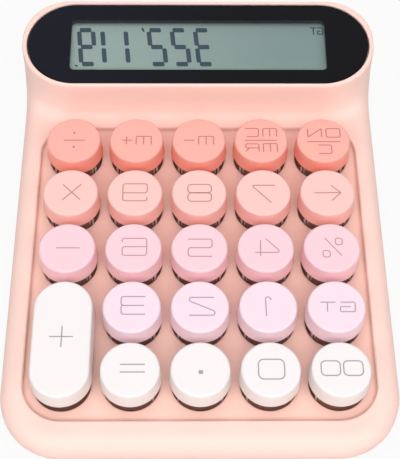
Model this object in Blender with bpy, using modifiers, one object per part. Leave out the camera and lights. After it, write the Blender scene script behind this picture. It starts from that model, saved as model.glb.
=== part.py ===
"""Desk calculator with mechanical key switches.

A wedge-shaped case with a raised display pod at the back, 24 sprung keys on a sloping deck,
and a battery under a sliding door. Lengths are metres, +Z is up and +Y points to the back.

Most pieces are drawn in the deck frame: its XY plane is the plane of the cap tops, parallel
to the key deck, and its origin lies over the middle key of the front row. The deck slopes
up to the back by DECK_SLOPE. The lower shell and what it carries are drawn straight in the
world frame, whose XY plane is the desk.
"""
import math

import bmesh
import bpy
from mathutils import Euler, Matrix, Vector

MM = 0.001

# Keys, front row first and left to right. The long key spans the two front rows.
KEY_ROWS = (
    (None, "equals", "dot", "0", "00"),
    (None, "3", "2", "1", "gt"),
    ("minus", "6", "5", "4", "percent"),
    ("times", "9", "8", "7", "backspace"),
    ("divide", "m_plus", "m_minus", "mc_mr", "on_c"),
)
LONG_KEY = "plus"
ROW_COLOURS = (
    (0.90, 0.84, 0.80),
    (0.90, 0.74, 0.82),
    (0.94, 0.58, 0.66),
    (0.95, 0.50, 0.46),
    (0.95, 0.34, 0.27),
)

# General values
FIT = 0.3 * MM              # gap between neighbouring pieces
OVERRUN = 2.0 * MM          # how far a cutter runs past what it cuts
WELD = 0.001 * MM           # points closer than this are one point
FACET_ANGLE = math.radians(35)
CORNER_STEPS = 6
ROUND_STEPS = 16

# Deck
DECK_SLOPE = math.radians(5.0)
KEY_PITCH = 19.05 * MM
KEY_TRAVEL = 3.2 * MM
CAP_CLEARANCE = 0.6 * MM    # pressed cap to deck
DECK_THICKNESS = 1.8 * MM
WELL_RADIUS = 8.0 * MM
TRAY_DEPTH = 1.9 * MM       # deck below the rim
TRAY_MARGIN_SIDE = 10.8 * MM
TRAY_MARGIN_FRONT = 11.3 * MM
TRAY_MARGIN_BACK = 10.5 * MM
TRAY_RADIUS_FRONT = 11.0 * MM
TRAY_RADIUS_BACK = 9.5 * MM
TRAY_EDGE = 0.45 * MM       # chamfer at the tray's foot and lip

# Case
RIM_WIDTH = 6.6 * MM
FRONT_RIM_WIDTH = 8.65 * MM
FRONT_RADIUS = 18.0 * MM
RIM_FILLET = 5.2 * MM
RIM_FILLET_STEPS = 4
NOSE_DEPTH = 8.0 * MM       # how far the front wall curves in down to the underside
NOSE_LAND = 0.5 * MM        # straight part between the rim's fillet and that curve
NOSE_STEPS = 3
CASE_WALL = 2.2 * MM
FRONT_WALL_HEIGHT = 13.5 * MM   # rim to the underside, at the front edge
BASE_THICKNESS = 2.0 * MM
BASE_FILLET = 1.7 * MM
BASE_FILLET_STEPS = 2
BASE_LIP_HEIGHT = 3.0 * MM
BASE_LIP_WALL = 1.2 * MM
FOOT_STANDOFF = 1.0 * MM

# Display pod
POD_RADIUS = 16.65 * MM
BACK_TUCK = 1.85 * MM       # how much tighter the case's back corners are than the pod's ends
POD_GAP = 5.8 * MM          # tray's back edge to the pod's front face
POD_RISE = 14.7 * MM        # rim to the middle of the pod's top
POD_TILT = math.radians(4.0)
POD_INSET = 0.05 * MM       # keeps the pod's ends off the plane of the case's sides
POD_SWEEP_RADIUS = 27.0 * MM
POD_SWEEP_HEIGHT = 10.0 * MM    # how far above the rim the sweep starts
POD_FOOT_FILLET = 3.0 * MM
POD_EDGE = 0.4 * MM
POD_SWEEP_STEPS = 6
WINDOW_RIM = 1.2 * MM
WINDOW_END_RIM = 1.4 * MM   # rim round the window's half-round ends
WINDOW_THICKNESS = 1.5 * MM
WINDOW_SINK = 0.2 * MM      # window's face below the pod's rim
WINDOW_LEDGE = 2.0 * MM
LEDGE_THICKNESS = 1.6 * MM
LCD_WIDTH = 84.0 * MM
LCD_GAP = 0.95 * MM         # panel to the edge of the opening over it
LCD_THICKNESS = 2.6 * MM

# Key caps
CAP_SKIRT_RADIUS = 8.55 * MM
CAP_CROWN_RADIUS = 8.15 * MM
CAP_HEIGHT = 6.1 * MM
CAP_FILLET = 0.7 * MM
CAP_WALL = 1.2 * MM
CAP_ROOF = 1.5 * MM
CAP_DRAFT = 0.5 * MM        # how much narrower the hollow is at its roof
SOCKET_RADIUS = 2.8 * MM
SOCKET_STEPS = 8
GUIDE_RADIUS = 1.5 * MM
GUIDE_REACH = 11.94 * MM    # long key's guide posts from its middle
GUIDE_LENGTH = 13.5 * MM

# Switches
CROSS_SPAN = 4.0 * MM
CROSS_BAR = 1.2 * MM
CROSS_LENGTH = 4.0 * MM
SLIDER_HALF_WIDTH = 3.4 * MM
SLIDER_HALF_DEPTH = 2.9 * MM
SLIDER_LENGTH = 6.0 * MM
HOUSING_TOP_HALF = 4.6 * MM
HOUSING_NECK_HALF = 5.2 * MM
HOUSING_FLANGE_HALF = 7.2 * MM
HOUSING_FOOT_HALF = 6.7 * MM
HOUSING_RISE = 5.8 * MM     # housing top above the plate
HOUSING_FLANGE = 0.8 * MM
HOUSING_DROP = 4.4 * MM     # housing foot below the plate's top
HOUSING_FLOOR = 0.5 * MM
PLATE_SPACE = 1.1 * MM      # deck's underside to the plate
PLATE_THICKNESS = 1.5 * MM
PLATE_CORNER = 4.0 * MM
PLATE_MARGIN_SIDE = 8.7 * MM
PLATE_MARGIN_END = 9.4 * MM
SPACER_RADIUS = 2.2 * MM
SPACER_COLUMNS = (-1.5, 1.5)    # in key pitches
SPACER_ROWS = (0.5, 3.5)
BOARD_THICKNESS = 1.6 * MM
BOARD_CORNER = 3.0 * MM

# Screw posts and board posts
SCREW_POST_RADIUS = 3.0 * MM
SCREW_BOSS = 2.0 * MM           # lower shell's bosses above its floor
SCREW_PILOT_RADIUS = 1.0 * MM
SCREW_PILOT_DEPTH = 8.0 * MM
SCREW_POST_SINK = 0.5 * MM      # how far a post runs into the side wall
SCREW_HOLE_RADIUS = 1.3 * MM
SCREW_HEAD_RADIUS = 2.6 * MM
SCREW_HEAD_DEPTH = 1.0 * MM
SCREW_POST_ROWS = (0.5, 4.9)    # in key pitches
BOARD_POST_RADIUS = 2.0 * MM
BOARD_POST_COLUMNS = (-1.5, 1.5)
BOARD_POST_ROWS = (0.5, 3.5)

# Battery, its bay and its door
BATTERY_RADIUS = 5.25 * MM
BATTERY_LENGTH = 44.5 * MM
BATTERY_NUB_RADIUS = 1.9 * MM
BATTERY_NUB_LENGTH = 0.8 * MM
BATTERY_EDGE = 0.5 * MM
BATTERY_SETBACK = 11.6 * MM     # battery's axis from the back of the underside
CONTACT_SPACE = 2.0 * MM        # room for the contacts at each end of the battery
BAY_WALL = 1.6 * MM
BAY_SIDE_GAP = 0.6 * MM
DOOR_MARGIN = 0.3 * MM          # door's opening past the bay's hollow
DOOR_TONGUE = 1.0 * MM
DOOR_TONGUE_THICKNESS = 0.7 * MM
DOOR_GRIP_HALF = 9.0 * MM
DOOR_GRIP_WIDTH = 0.8 * MM
DOOR_GRIP_DEPTH = 0.4 * MM
DOOR_GRIP_PITCH = 2.0 * MM
DOOR_GRIP_COUNT = 4

# Feet
FOOT_RADIUS = 4.5 * MM
FOOT_RECESS = 0.8 * MM
FOOT_EDGE = 0.4 * MM
FOOT_MARGIN_SIDE = 12.0 * MM
FOOT_MARGIN_FRONT = 17.0 * MM
FOOT_MARGIN_BACK = 14.0 * MM

# Levels in the deck frame
DECK_DEPTH = CAP_HEIGHT + KEY_TRAVEL + CAP_CLEARANCE    # cap tops to deck
RIM_LEVEL = TRAY_DEPTH - DECK_DEPTH
DECK_UNDERSIDE = -DECK_DEPTH - DECK_THICKNESS
PLATE_TOP = DECK_UNDERSIDE - PLATE_SPACE
PLATE_UNDERSIDE = PLATE_TOP - PLATE_THICKNESS
HOUSING_TOP = PLATE_TOP + HOUSING_RISE
HOUSING_FOOT = PLATE_TOP - HOUSING_DROP
BOARD_TOP = HOUSING_FOOT - FIT
BOARD_UNDERSIDE = BOARD_TOP - BOARD_THICKNESS
CROSS_TOP = -CAP_ROOF - FIT
SLIDER_TOP = CROSS_TOP - CROSS_LENGTH
SLIDER_FOOT = SLIDER_TOP - SLIDER_LENGTH
POD_LEVEL = RIM_LEVEL + POD_RISE

# Plan in the deck frame
LAST_COLUMN = len(KEY_ROWS[0]) - 1
LAST_ROW = len(KEY_ROWS) - 1
KEY_FIELD_HALF = LAST_COLUMN / 2 * KEY_PITCH
KEY_FIELD_DEPTH = LAST_ROW * KEY_PITCH
TRAY_HALF = KEY_FIELD_HALF + TRAY_MARGIN_SIDE
TRAY_FRONT = -TRAY_MARGIN_FRONT
TRAY_BACK = KEY_FIELD_DEPTH + TRAY_MARGIN_BACK
CASE_HALF = TRAY_HALF + RIM_WIDTH
CASE_FRONT = TRAY_FRONT - FRONT_RIM_WIDTH
POD_MIDDLE = TRAY_BACK + POD_GAP + POD_RADIUS
CASE_BACK = POD_MIDDLE + POD_RADIUS
BACK_RADIUS = POD_RADIUS - BACK_TUCK
LCD_DEPTH = 2 * (POD_RADIUS - WINDOW_RIM - WINDOW_LEDGE - LCD_GAP)

# Place of the deck frame in the world
SIN_SLOPE = math.sin(DECK_SLOPE)
COS_SLOPE = math.cos(DECK_SLOPE)
TAN_SLOPE = math.tan(DECK_SLOPE)
UNDERSIDE_AT_FRONT = RIM_LEVEL - FRONT_WALL_HEIGHT
NOSE_HEIGHT = (FRONT_WALL_HEIGHT - RIM_FILLET) * COS_SLOPE - NOSE_LAND
DECK_HEIGHT = FOOT_STANDOFF - CASE_FRONT * SIN_SLOPE - UNDERSIDE_AT_FRONT * COS_SLOPE
BASE_TOP = FOOT_STANDOFF + BASE_THICKNESS
CASE_BOTTOM = BASE_TOP + FIT
FRONT_REACH = CASE_FRONT * COS_SLOPE - (RIM_LEVEL - RIM_FILLET) * SIN_SLOPE
BACK_REACH = CASE_BACK / COS_SLOPE + (DECK_HEIGHT - FOOT_STANDOFF - BASE_FILLET) * TAN_SLOPE
DECK_SHIFT = -(FRONT_REACH + BACK_REACH) / 2

PARTS = "desk_calculator"
CUTTERS = "cutters"


def clear_scene():
    """Remove what the scene holds and make the two collections."""
    for item in list(bpy.data.objects):
        bpy.data.objects.remove(item, do_unlink=True)
    for name in (PARTS, CUTTERS):
        bpy.context.scene.collection.children.link(bpy.data.collections.new(name))


def material(name, colour, roughness, metallic=0.0):
    """A plain Principled material, made once for each name."""
    found = bpy.data.materials.get(name)
    if found:
        return found
    made = bpy.data.materials.new(name)
    made.use_nodes = True
    surface = made.node_tree.nodes["Principled BSDF"]
    surface.inputs["Base Color"].default_value = (*colour, 1.0)
    surface.inputs["Roughness"].default_value = roughness
    surface.inputs["Metallic"].default_value = metallic
    return made


def empty(name, location, rotation=(0.0, 0.0, 0.0), parent=None):
    """A frame that pieces are placed in."""
    frame = bpy.data.objects.new(name, None)
    bpy.data.collections[PARTS].objects.link(frame)
    frame.location = location
    frame.rotation_euler = Euler(rotation)
    frame.parent = parent
    return frame


def add_object(name, mesh, parent=None, location=(0.0, 0.0, 0.0), cutter=False):
    """Put a mesh in the scene, among the parts or among the cutters."""
    made = bpy.data.objects.new(name, mesh)
    bpy.data.collections[CUTTERS if cutter else PARTS].objects.link(made)
    made.parent = parent
    made.location = location
    if cutter:
        made.hide_render = True
        made.display_type = "WIRE"
    return made


def finish(piece, look):
    """Give a piece its material and smooth its round faces."""
    piece.data.materials.clear()
    piece.data.materials.append(look)
    piece.data.shade_smooth()
    piece.data.set_sharp_from_angle(angle=FACET_ANGLE)


def boolean(target, tool, operation):
    """Cut, join or intersect target with tool, and keep the tool as a hidden cutter."""
    step = target.modifiers.new(tool.name, "BOOLEAN")
    step.operation = operation
    step.object = tool
    step.solver = "EXACT"


def baked_mesh(piece, name):
    """The evaluated mesh of a piece, whose object and tools are then removed."""
    bpy.context.view_layer.update()
    graph = bpy.context.evaluated_depsgraph_get()
    mesh = bpy.data.meshes.new_from_object(piece.evaluated_get(graph))
    mesh.name = name
    tools = [step.object for step in piece.modifiers if step.type == "BOOLEAN"]
    for item in (piece, *tools):
        bpy.data.objects.remove(item, do_unlink=True)
    return mesh


def corner_outline(half_width, front, back, front_radius, back_radius, steps=CORNER_STEPS):
    """Points of a rectangle with round corners, anticlockwise from its front edge."""
    corners = (
        (half_width - front_radius, front + front_radius, front_radius, -0.5),
        (half_width - back_radius, back - back_radius, back_radius, 0.0),
        (back_radius - half_width, back - back_radius, back_radius, 0.5),
        (front_radius - half_width, front + front_radius, front_radius, 1.0),
    )
    points = []
    for x, y, radius, start in corners:
        for step in range(steps + 1):
            angle = math.pi * (start + step / (2 * steps))
            points.append((x + radius * math.cos(angle), y + radius * math.sin(angle)))
    return points


def loft(name, rings, parent=None, cutter=False):
    """A closed solid through rings of equal count, listed from the lowest to the highest."""
    shape = bmesh.new()
    rows = [[shape.verts.new(point) for point in ring] for ring in rings]
    for lower, upper in zip(rows, rows[1:]):
        for index in range(len(lower)):
            after = (index + 1) % len(lower)
            shape.faces.new((lower[index], lower[after], upper[after], upper[index]))
    shape.faces.new(list(reversed(rows[0])))
    shape.faces.new(rows[-1])
    bmesh.ops.remove_doubles(shape, verts=shape.verts, dist=WELD)
    bmesh.ops.recalc_face_normals(shape, faces=shape.faces)
    mesh = bpy.data.meshes.new(name)
    shape.to_mesh(mesh)
    shape.free()
    return add_object(name, mesh, parent, cutter=cutter)


def prism_rings(outline, low, high):
    """Two level rings of one outline."""
    return [[(x, y, low) for x, y in outline], [(x, y, high) for x, y in outline]]


def plate(name, outline, low, high, parent=None, cutter=False):
    """A flat piece: a filled 2D curve, extruded and turned into a mesh."""
    curve = bpy.data.curves.new(name, "CURVE")
    curve.dimensions = "2D"
    curve.fill_mode = "BOTH"
    curve.extrude = (high - low) / 2
    spline = curve.splines.new("POLY")
    spline.points.add(len(outline) - 1)
    for point, (x, y) in zip(spline.points, outline):
        point.co = (x, y, 0.0, 1.0)
    spline.use_cyclic_u = True
    drawn = bpy.data.objects.new(name + "_outline", curve)
    bpy.data.collections[CUTTERS].objects.link(drawn)
    bpy.context.view_layer.update()
    graph = bpy.context.evaluated_depsgraph_get()
    mesh = bpy.data.meshes.new_from_object(drawn.evaluated_get(graph))
    bpy.data.objects.remove(drawn, do_unlink=True)
    mesh.transform(Matrix.Translation((0.0, 0.0, (high + low) / 2)))
    shape = bmesh.new()
    shape.from_mesh(mesh)
    bmesh.ops.remove_doubles(shape, verts=shape.verts, dist=WELD)
    bmesh.ops.recalc_face_normals(shape, faces=shape.faces)
    shape.to_mesh(mesh)
    shape.free()
    return add_object(name, mesh, parent, cutter=cutter)


def box(name, low, high, parent=None, cutter=False):
    """A box between two corners."""
    shape = bmesh.new()
    bmesh.ops.create_cube(shape, size=1.0)
    size = Vector(high) - Vector(low)
    middle = (Vector(high) + Vector(low)) / 2
    bmesh.ops.transform(shape, verts=shape.verts, matrix=Matrix.LocRotScale(middle, None, size))
    mesh = bpy.data.meshes.new(name)
    shape.to_mesh(mesh)
    shape.free()
    return add_object(name, mesh, parent, cutter=cutter)


def cylinders(name, places, radius, low, high, steps=ROUND_STEPS, parent=None, cutter=True):
    """Upright cylinders at (x, y) places, as one cutter."""
    shape = bmesh.new()
    for x, y in places:
        matrix = Matrix.Translation((x, y, (low + high) / 2))
        bmesh.ops.create_cone(shape, cap_ends=True, segments=steps, radius1=radius,
                              radius2=radius, depth=high - low, matrix=matrix)
    mesh = bpy.data.meshes.new(name)
    shape.to_mesh(mesh)
    shape.free()
    return add_object(name, mesh, parent, cutter=cutter)


def turned(name, profile, steps=ROUND_STEPS, parent=None, location=(0.0, 0.0, 0.0)):
    """A Screw solid from (radius, height) points that run down its outer side."""
    mesh = bpy.data.meshes.new(name)
    points = [(radius, 0.0, height) for radius, height in profile]
    edges = [(index, index + 1) for index in range(len(points) - 1)]
    mesh.from_pydata(points, edges, [])
    made = add_object(name, mesh, parent, location)
    screw = made.modifiers.new("turn", "SCREW")
    screw.axis = "Z"
    screw.angle = 2 * math.pi
    screw.steps = steps
    screw.render_steps = steps
    screw.use_merge_vertices = True
    screw.merge_threshold = WELD
    return made


def case_outline(inset, nose=0.0):
    """The case's outline in the deck plane, drawn in by inset and its front edge by nose too."""
    return corner_outline(CASE_HALF - inset, CASE_FRONT + inset + nose, CASE_BACK - inset,
                          FRONT_RADIUS - inset, BACK_RADIUS - inset)


def pod_outline(inset):
    """The pod's outline: round ends in front, and the case's own corners at the back."""
    return corner_outline(CASE_HALF - inset, POD_MIDDLE - POD_RADIUS + inset,
                          POD_MIDDLE + POD_RADIUS - inset, POD_RADIUS - inset,
                          BACK_RADIUS - inset)


def window_outline(inset):
    """The window pocket's outline about the pod's middle, with half circles for its ends."""
    radius = POD_RADIUS - WINDOW_RIM - inset
    return corner_outline(CASE_HALF - WINDOW_END_RIM - inset, -radius, radius, radius, radius)


def nose_setback(height):
    """How far the front wall is drawn back at a world height: a quarter of an ellipse."""
    drop = min(1.0, max(0.0, 1.0 - (height - FOOT_STANDOFF) / NOSE_HEIGHT))
    return NOSE_DEPTH * (1.0 - math.sqrt(1.0 - drop ** 2))


def nose_heights(low):
    """World heights of the rings between the height low and the top of the nose."""
    start = math.asin(1.0 - (low - FOOT_STANDOFF) / NOSE_HEIGHT)
    return [FOOT_STANDOFF + NOSE_HEIGHT * (1.0 - math.sin(start * step / NOSE_STEPS))
            for step in reversed(range(NOSE_STEPS))]


def level_in_deck(y, height):
    """Deck-frame z of the world height, over a deck-frame y."""
    return (height - DECK_HEIGHT - y * SIN_SLOPE) / COS_SLOPE


def case_ring_at_height(inset, height, nose_height):
    """Level ring of the case's outline in the deck frame, with the nose of a second height."""
    outline = case_outline(inset, nose_setback(nose_height))
    return [(x, y, level_in_deck(y, height)) for x, y in outline]


def base_ring(inset, height, nose_height):
    """The same ring in the world frame, for the lower shell."""
    tilt = (DECK_HEIGHT - height) * TAN_SLOPE
    return [(x, DECK_SHIFT + y / COS_SLOPE + tilt, height)
            for x, y in case_outline(inset, nose_setback(nose_height))]


def deck_to_world(x, y, z):
    """World place of a deck-frame point."""
    return (x, DECK_SHIFT + y * COS_SLOPE - z * SIN_SLOPE,
            DECK_HEIGHT + y * SIN_SLOPE + z * COS_SLOPE)


def fillet_rings(outline_at, radius, low, steps):
    """Level rings of a rounded edge that starts at the height low and draws in."""
    rings = []
    for step in range(1, steps + 1):
        angle = math.pi / 2 * step / steps
        inset = radius * (1 - math.cos(angle))
        rings.append([(x, y, low + radius * math.sin(angle)) for x, y in outline_at(inset)])
    return rings


def pod_sweep(height):
    """How far the pod's front face flares out at a height above the rim."""
    drop = max(0.0, POD_SWEEP_HEIGHT - height)
    flare = POD_SWEEP_RADIUS - math.sqrt(POD_SWEEP_RADIUS ** 2 - drop ** 2)
    foot = min(POD_FOOT_FILLET, max(0.0, POD_FOOT_FILLET - height))
    return flare + POD_FOOT_FILLET - math.sqrt(POD_FOOT_FILLET ** 2 - foot ** 2)


def pod_ring(height, inset):
    """Ring of the pod at a height above the rim, tilted more the higher it is."""
    flare = pod_sweep(height)
    share = max(0.0, height) / POD_RISE
    side = CASE_HALF - POD_INSET - inset
    ring = []
    for x, y in pod_outline(inset):
        if y < POD_MIDDLE - WELD:
            reach = math.hypot(min(0.0, y - POD_MIDDLE), max(0.0, abs(x) - side + POD_RADIUS))
            grow = (reach + flare) / reach
            corner = max(0.0, abs(x) - (CASE_HALF - POD_RADIUS))
            x += math.copysign(corner * (grow - 1), x)
            y = POD_MIDDLE + (y - POD_MIDDLE) * grow
        x = max(-side, min(side, x))
        lift = share * (y - POD_MIDDLE) * math.tan(POD_TILT)
        ring.append((x, min(y, CASE_BACK - POD_INSET - inset), RIM_LEVEL + height + lift))
    return ring


def pod_body(parent):
    """The pod: a flared foot, a swept front face and a small bevel round its top."""
    top = POD_RISE - POD_EDGE
    shares = [step / POD_SWEEP_STEPS for step in range(POD_SWEEP_STEPS + 1)]
    heights = [-RIM_FILLET - TRAY_EDGE, -RIM_FILLET / 2]
    heights += [top * share ** 2 for share in shares]
    rings = [pod_ring(height, 0.0) for height in heights]
    rings.append(pod_ring(POD_RISE, POD_EDGE))
    return loft("pod_body", rings, parent, cutter=True)


def key_places():
    """Name, row, x and y of every key."""
    places = [(LONG_KEY, 0, -KEY_FIELD_HALF, KEY_PITCH / 2)]
    for row, names in enumerate(KEY_ROWS):
        for column, name in enumerate(names):
            if name:
                places.append((name, row, column * KEY_PITCH - KEY_FIELD_HALF, row * KEY_PITCH))
    return places


def long_outline(radius, steps=ROUND_STEPS // 4):
    """Outline of the long key, its well or its hollow, about its own middle."""
    reach = KEY_PITCH / 2 + radius
    return corner_outline(radius, -reach, reach, radius, radius, steps)


def grid(columns, rows):
    """Deck-frame places given in key pitches."""
    return [(column * KEY_PITCH, row * KEY_PITCH) for column in columns for row in rows]


def screw_places():
    """Deck-frame places of the four screw posts, which run into the side walls."""
    x = CASE_HALF - CASE_WALL - SCREW_POST_RADIUS + SCREW_POST_SINK
    return [(side * x, row * KEY_PITCH) for side in (-1, 1) for row in SCREW_POST_ROWS]


def posts(name, places, radius, low_at, high_at, steps, parent=None):
    """Posts between two heights that vary with y, as one tool."""
    shape = bmesh.new()
    for x, y in places:
        ring = [(x + radius * math.cos(2 * math.pi * step / steps),
                 y + radius * math.sin(2 * math.pi * step / steps)) for step in range(steps)]
        low = [shape.verts.new((px, py, low_at(py))) for px, py in ring]
        high = [shape.verts.new((px, py, high_at(py))) for px, py in ring]
        for index in range(steps):
            after = (index + 1) % steps
            shape.faces.new((low[index], low[after], high[after], high[index]))
        shape.faces.new(list(reversed(low)))
        shape.faces.new(high)
    mesh = bpy.data.meshes.new(name)
    shape.to_mesh(mesh)
    shape.free()
    return add_object(name, mesh, parent, cutter=True)


def top_case(deck, look):
    """The upper shell: wedge, pod, key tray, wells, window seat, spacers and screw posts."""
    low = RIM_LEVEL - RIM_FILLET
    noses = [CASE_BOTTOM] + nose_heights(CASE_BOTTOM)
    side = [case_ring_at_height(0.0, height, height) for height in noses]
    side.append([(x, y, low) for x, y in case_outline(0.0)])
    shell = loft("top_case", side + fillet_rings(case_outline, RIM_FILLET, low,
                                                 RIM_FILLET_STEPS), deck)
    boolean(shell, pod_body(deck), "UNION")

    hollow = [case_ring_at_height(CASE_WALL, CASE_BOTTOM - OVERRUN, CASE_BOTTOM)]
    hollow += [case_ring_at_height(CASE_WALL, height, height) for height in noses]
    hollow.append([(x, y, DECK_UNDERSIDE) for x, y in case_outline(CASE_WALL)])
    boolean(shell, loft("case_hollow", hollow, deck, cutter=True), "DIFFERENCE")

    lip = RIM_LEVEL - TRAY_EDGE
    foot = TRAY_EDGE - DECK_DEPTH
    tray_levels = ((-DECK_DEPTH, TRAY_EDGE), (foot, 0.0), (lip, 0.0), (RIM_LEVEL, -TRAY_EDGE),
                   (RIM_LEVEL + OVERRUN, -TRAY_EDGE))
    tray = [[(x, y, level) for x, y in corner_outline(
        TRAY_HALF - inset, TRAY_FRONT + inset, TRAY_BACK - inset,
        TRAY_RADIUS_FRONT - inset, TRAY_RADIUS_BACK - inset)] for level, inset in tray_levels]
    boolean(shell, loft("tray_cut", tray, deck, cutter=True), "DIFFERENCE")

    pod_frame = empty("pod_frame", (0.0, POD_MIDDLE, POD_LEVEL), (POD_TILT, 0.0, 0.0), deck)
    seat = -WINDOW_SINK - WINDOW_THICKNESS - FIT
    boolean(shell, plate("window_pocket", window_outline(0.0), seat, OVERRUN, pod_frame, True),
            "DIFFERENCE")
    below = seat - LEDGE_THICKNESS
    boolean(shell, plate("window_opening", window_outline(WINDOW_LEDGE), below - OVERRUN,
                         seat + WINDOW_SINK, pod_frame, True), "DIFFERENCE")
    room = [[(x, y, DECK_UNDERSIDE - FIT) for x, y in pod_outline(CASE_WALL)],
            [(x, y, POD_LEVEL + (y - POD_MIDDLE) * math.tan(POD_TILT) + below)
             for x, y in pod_outline(CASE_WALL)]]
    boolean(shell, loft("pod_hollow", room, deck, cutter=True), "DIFFERENCE")

    round_wells = [(x, y) for name, _, x, y in key_places() if name != LONG_KEY]
    well_low = DECK_UNDERSIDE - OVERRUN
    boolean(shell, cylinders("wells", round_wells, WELL_RADIUS, well_low, RIM_LEVEL,
                             parent=deck), "DIFFERENCE")
    long_well = [(x - KEY_FIELD_HALF, y + KEY_PITCH / 2) for x, y in long_outline(WELL_RADIUS)]
    boolean(shell, plate("long_well", long_well, well_low, RIM_LEVEL, deck, True), "DIFFERENCE")

    spacers = cylinders("spacers", grid(SPACER_COLUMNS, SPACER_ROWS), SPACER_RADIUS,
                        PLATE_TOP + FIT, DECK_UNDERSIDE + DECK_THICKNESS / 2, SOCKET_STEPS, deck)
    boolean(shell, spacers, "UNION")
    screw_posts = posts("screw_posts", screw_places(), SCREW_POST_RADIUS,
                        lambda y: level_in_deck(y, BASE_TOP + SCREW_BOSS + FIT),
                        lambda y: DECK_UNDERSIDE + DECK_THICKNESS / 2, SOCKET_STEPS, deck)
    boolean(shell, screw_posts, "UNION")
    pilots = posts("screw_pilots", screw_places(), SCREW_PILOT_RADIUS,
                   lambda y: level_in_deck(y, BASE_TOP),
                   lambda y: level_in_deck(y, BASE_TOP) + SCREW_PILOT_DEPTH, SOCKET_STEPS, deck)
    boolean(shell, pilots, "DIFFERENCE")
    finish(shell, look)
    return pod_frame


def display(pod_frame):
    """The window, a plate with half-round ends, and the display panel behind it."""
    top = -WINDOW_SINK
    window = plate("display_window", window_outline(FIT), top - WINDOW_THICKNESS, top,
                   pod_frame)
    finish(window, material("window_black", (0.01, 0.01, 0.013), 0.08))
    panel_top = top - WINDOW_THICKNESS - FIT
    panel = box("lcd_panel", (-LCD_WIDTH / 2, -LCD_DEPTH / 2, panel_top - LCD_THICKNESS),
                (LCD_WIDTH / 2, LCD_DEPTH / 2, panel_top), pod_frame)
    finish(panel, material("lcd_green", (0.27, 0.36, 0.33), 0.25))


def housing_ring(half, z):
    """Square of a switch housing at a level."""
    return [(half, -half, z), (half, half, z), (-half, half, z), (-half, -half, z)]


def switch_plate(deck):
    """The plate that carries the switches, with their housings and the slider bores."""
    outline = corner_outline(KEY_FIELD_HALF + PLATE_MARGIN_SIDE, -PLATE_MARGIN_END,
                             KEY_FIELD_DEPTH + PLATE_MARGIN_END, PLATE_CORNER, PLATE_CORNER, 3)
    made = plate("switch_plate", outline, PLATE_UNDERSIDE, PLATE_TOP, deck)
    levels = ((HOUSING_FOOT_HALF, HOUSING_FOOT),
              (HOUSING_FLANGE_HALF, PLATE_TOP + HOUSING_FLANGE),
              (HOUSING_NECK_HALF, PLATE_TOP + HOUSING_FLANGE),
              (HOUSING_TOP_HALF, HOUSING_TOP))
    one = loft("housing", [housing_ring(half, z) for half, z in levels], cutter=True)
    bore = box("bore", (-SLIDER_HALF_WIDTH - FIT, -SLIDER_HALF_DEPTH - FIT,
                        HOUSING_FOOT + HOUSING_FLOOR),
               (SLIDER_HALF_WIDTH + FIT, SLIDER_HALF_DEPTH + FIT, HOUSING_TOP + OVERRUN),
               cutter=True)
    for tool, operation in ((one, "UNION"), (bore, "DIFFERENCE")):
        shape = bmesh.new()
        for _, _, x, y in key_places():
            copy = tool.data.copy()
            copy.transform(Matrix.Translation((x, y, 0.0)))
            shape.from_mesh(copy)
            bpy.data.meshes.remove(copy)
        mesh = bpy.data.meshes.new(tool.name + "_set")
        shape.to_mesh(mesh)
        shape.free()
        bpy.data.objects.remove(tool, do_unlink=True)
        boolean(made, add_object(mesh.name, mesh, deck, cutter=True), operation)
    guides = [(-KEY_FIELD_HALF, KEY_PITCH / 2 + side * GUIDE_REACH) for side in (-1, 1)]
    boolean(made, cylinders("guide_holes", guides, GUIDE_RADIUS + FIT, PLATE_UNDERSIDE - OVERRUN,
                            PLATE_TOP + OVERRUN, SOCKET_STEPS, deck), "DIFFERENCE")
    finish(made, material("switch_black", (0.03, 0.028, 0.03), 0.45))


def circuit_board(deck):
    """The board under the switches."""
    outline = corner_outline(KEY_FIELD_HALF + PLATE_MARGIN_SIDE, -PLATE_MARGIN_END,
                             KEY_FIELD_DEPTH + PLATE_MARGIN_END, BOARD_CORNER, BOARD_CORNER, 3)
    board = plate("circuit_board", outline, BOARD_UNDERSIDE, BOARD_TOP, deck)
    guides = [(-KEY_FIELD_HALF, KEY_PITCH / 2 + side * GUIDE_REACH) for side in (-1, 1)]
    boolean(board, cylinders("board_guide_holes", guides, GUIDE_RADIUS + FIT,
                             BOARD_UNDERSIDE - OVERRUN, BOARD_TOP + OVERRUN, SOCKET_STEPS,
                             deck), "DIFFERENCE")
    finish(board, material("board_green", (0.03, 0.22, 0.09), 0.5))


def cross_cutter(name, span, bar, low, high):
    """A plus-shaped prism."""
    half, thin = span / 2, bar / 2
    outline = [(thin, -half), (thin, -thin), (half, -thin), (half, thin), (thin, thin),
               (thin, half), (-thin, half), (-thin, thin), (-half, thin), (-half, -thin),
               (-thin, -thin), (-thin, -half)]
    return loft(name, prism_rings(outline, low, high), cutter=True)


def stem_mesh():
    """Slider of a switch with the cross that the cap is pressed on to."""
    slider = box("stem", (-SLIDER_HALF_WIDTH, -SLIDER_HALF_DEPTH, SLIDER_FOOT),
                 (SLIDER_HALF_WIDTH, SLIDER_HALF_DEPTH, SLIDER_TOP))
    cross = cross_cutter("cross", CROSS_SPAN, CROSS_BAR, SLIDER_TOP - SLIDER_LENGTH / 2,
                         CROSS_TOP)
    boolean(slider, cross, "UNION")
    return baked_mesh(slider, "stem")


def cap_profile():
    """Outer side of a cap from its flat top down: radius and height."""
    return [(CAP_CROWN_RADIUS - CAP_FILLET, 0.0),
            (CAP_CROWN_RADIUS, -CAP_FILLET),
            (CAP_SKIRT_RADIUS, -CAP_HEIGHT)]


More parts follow.
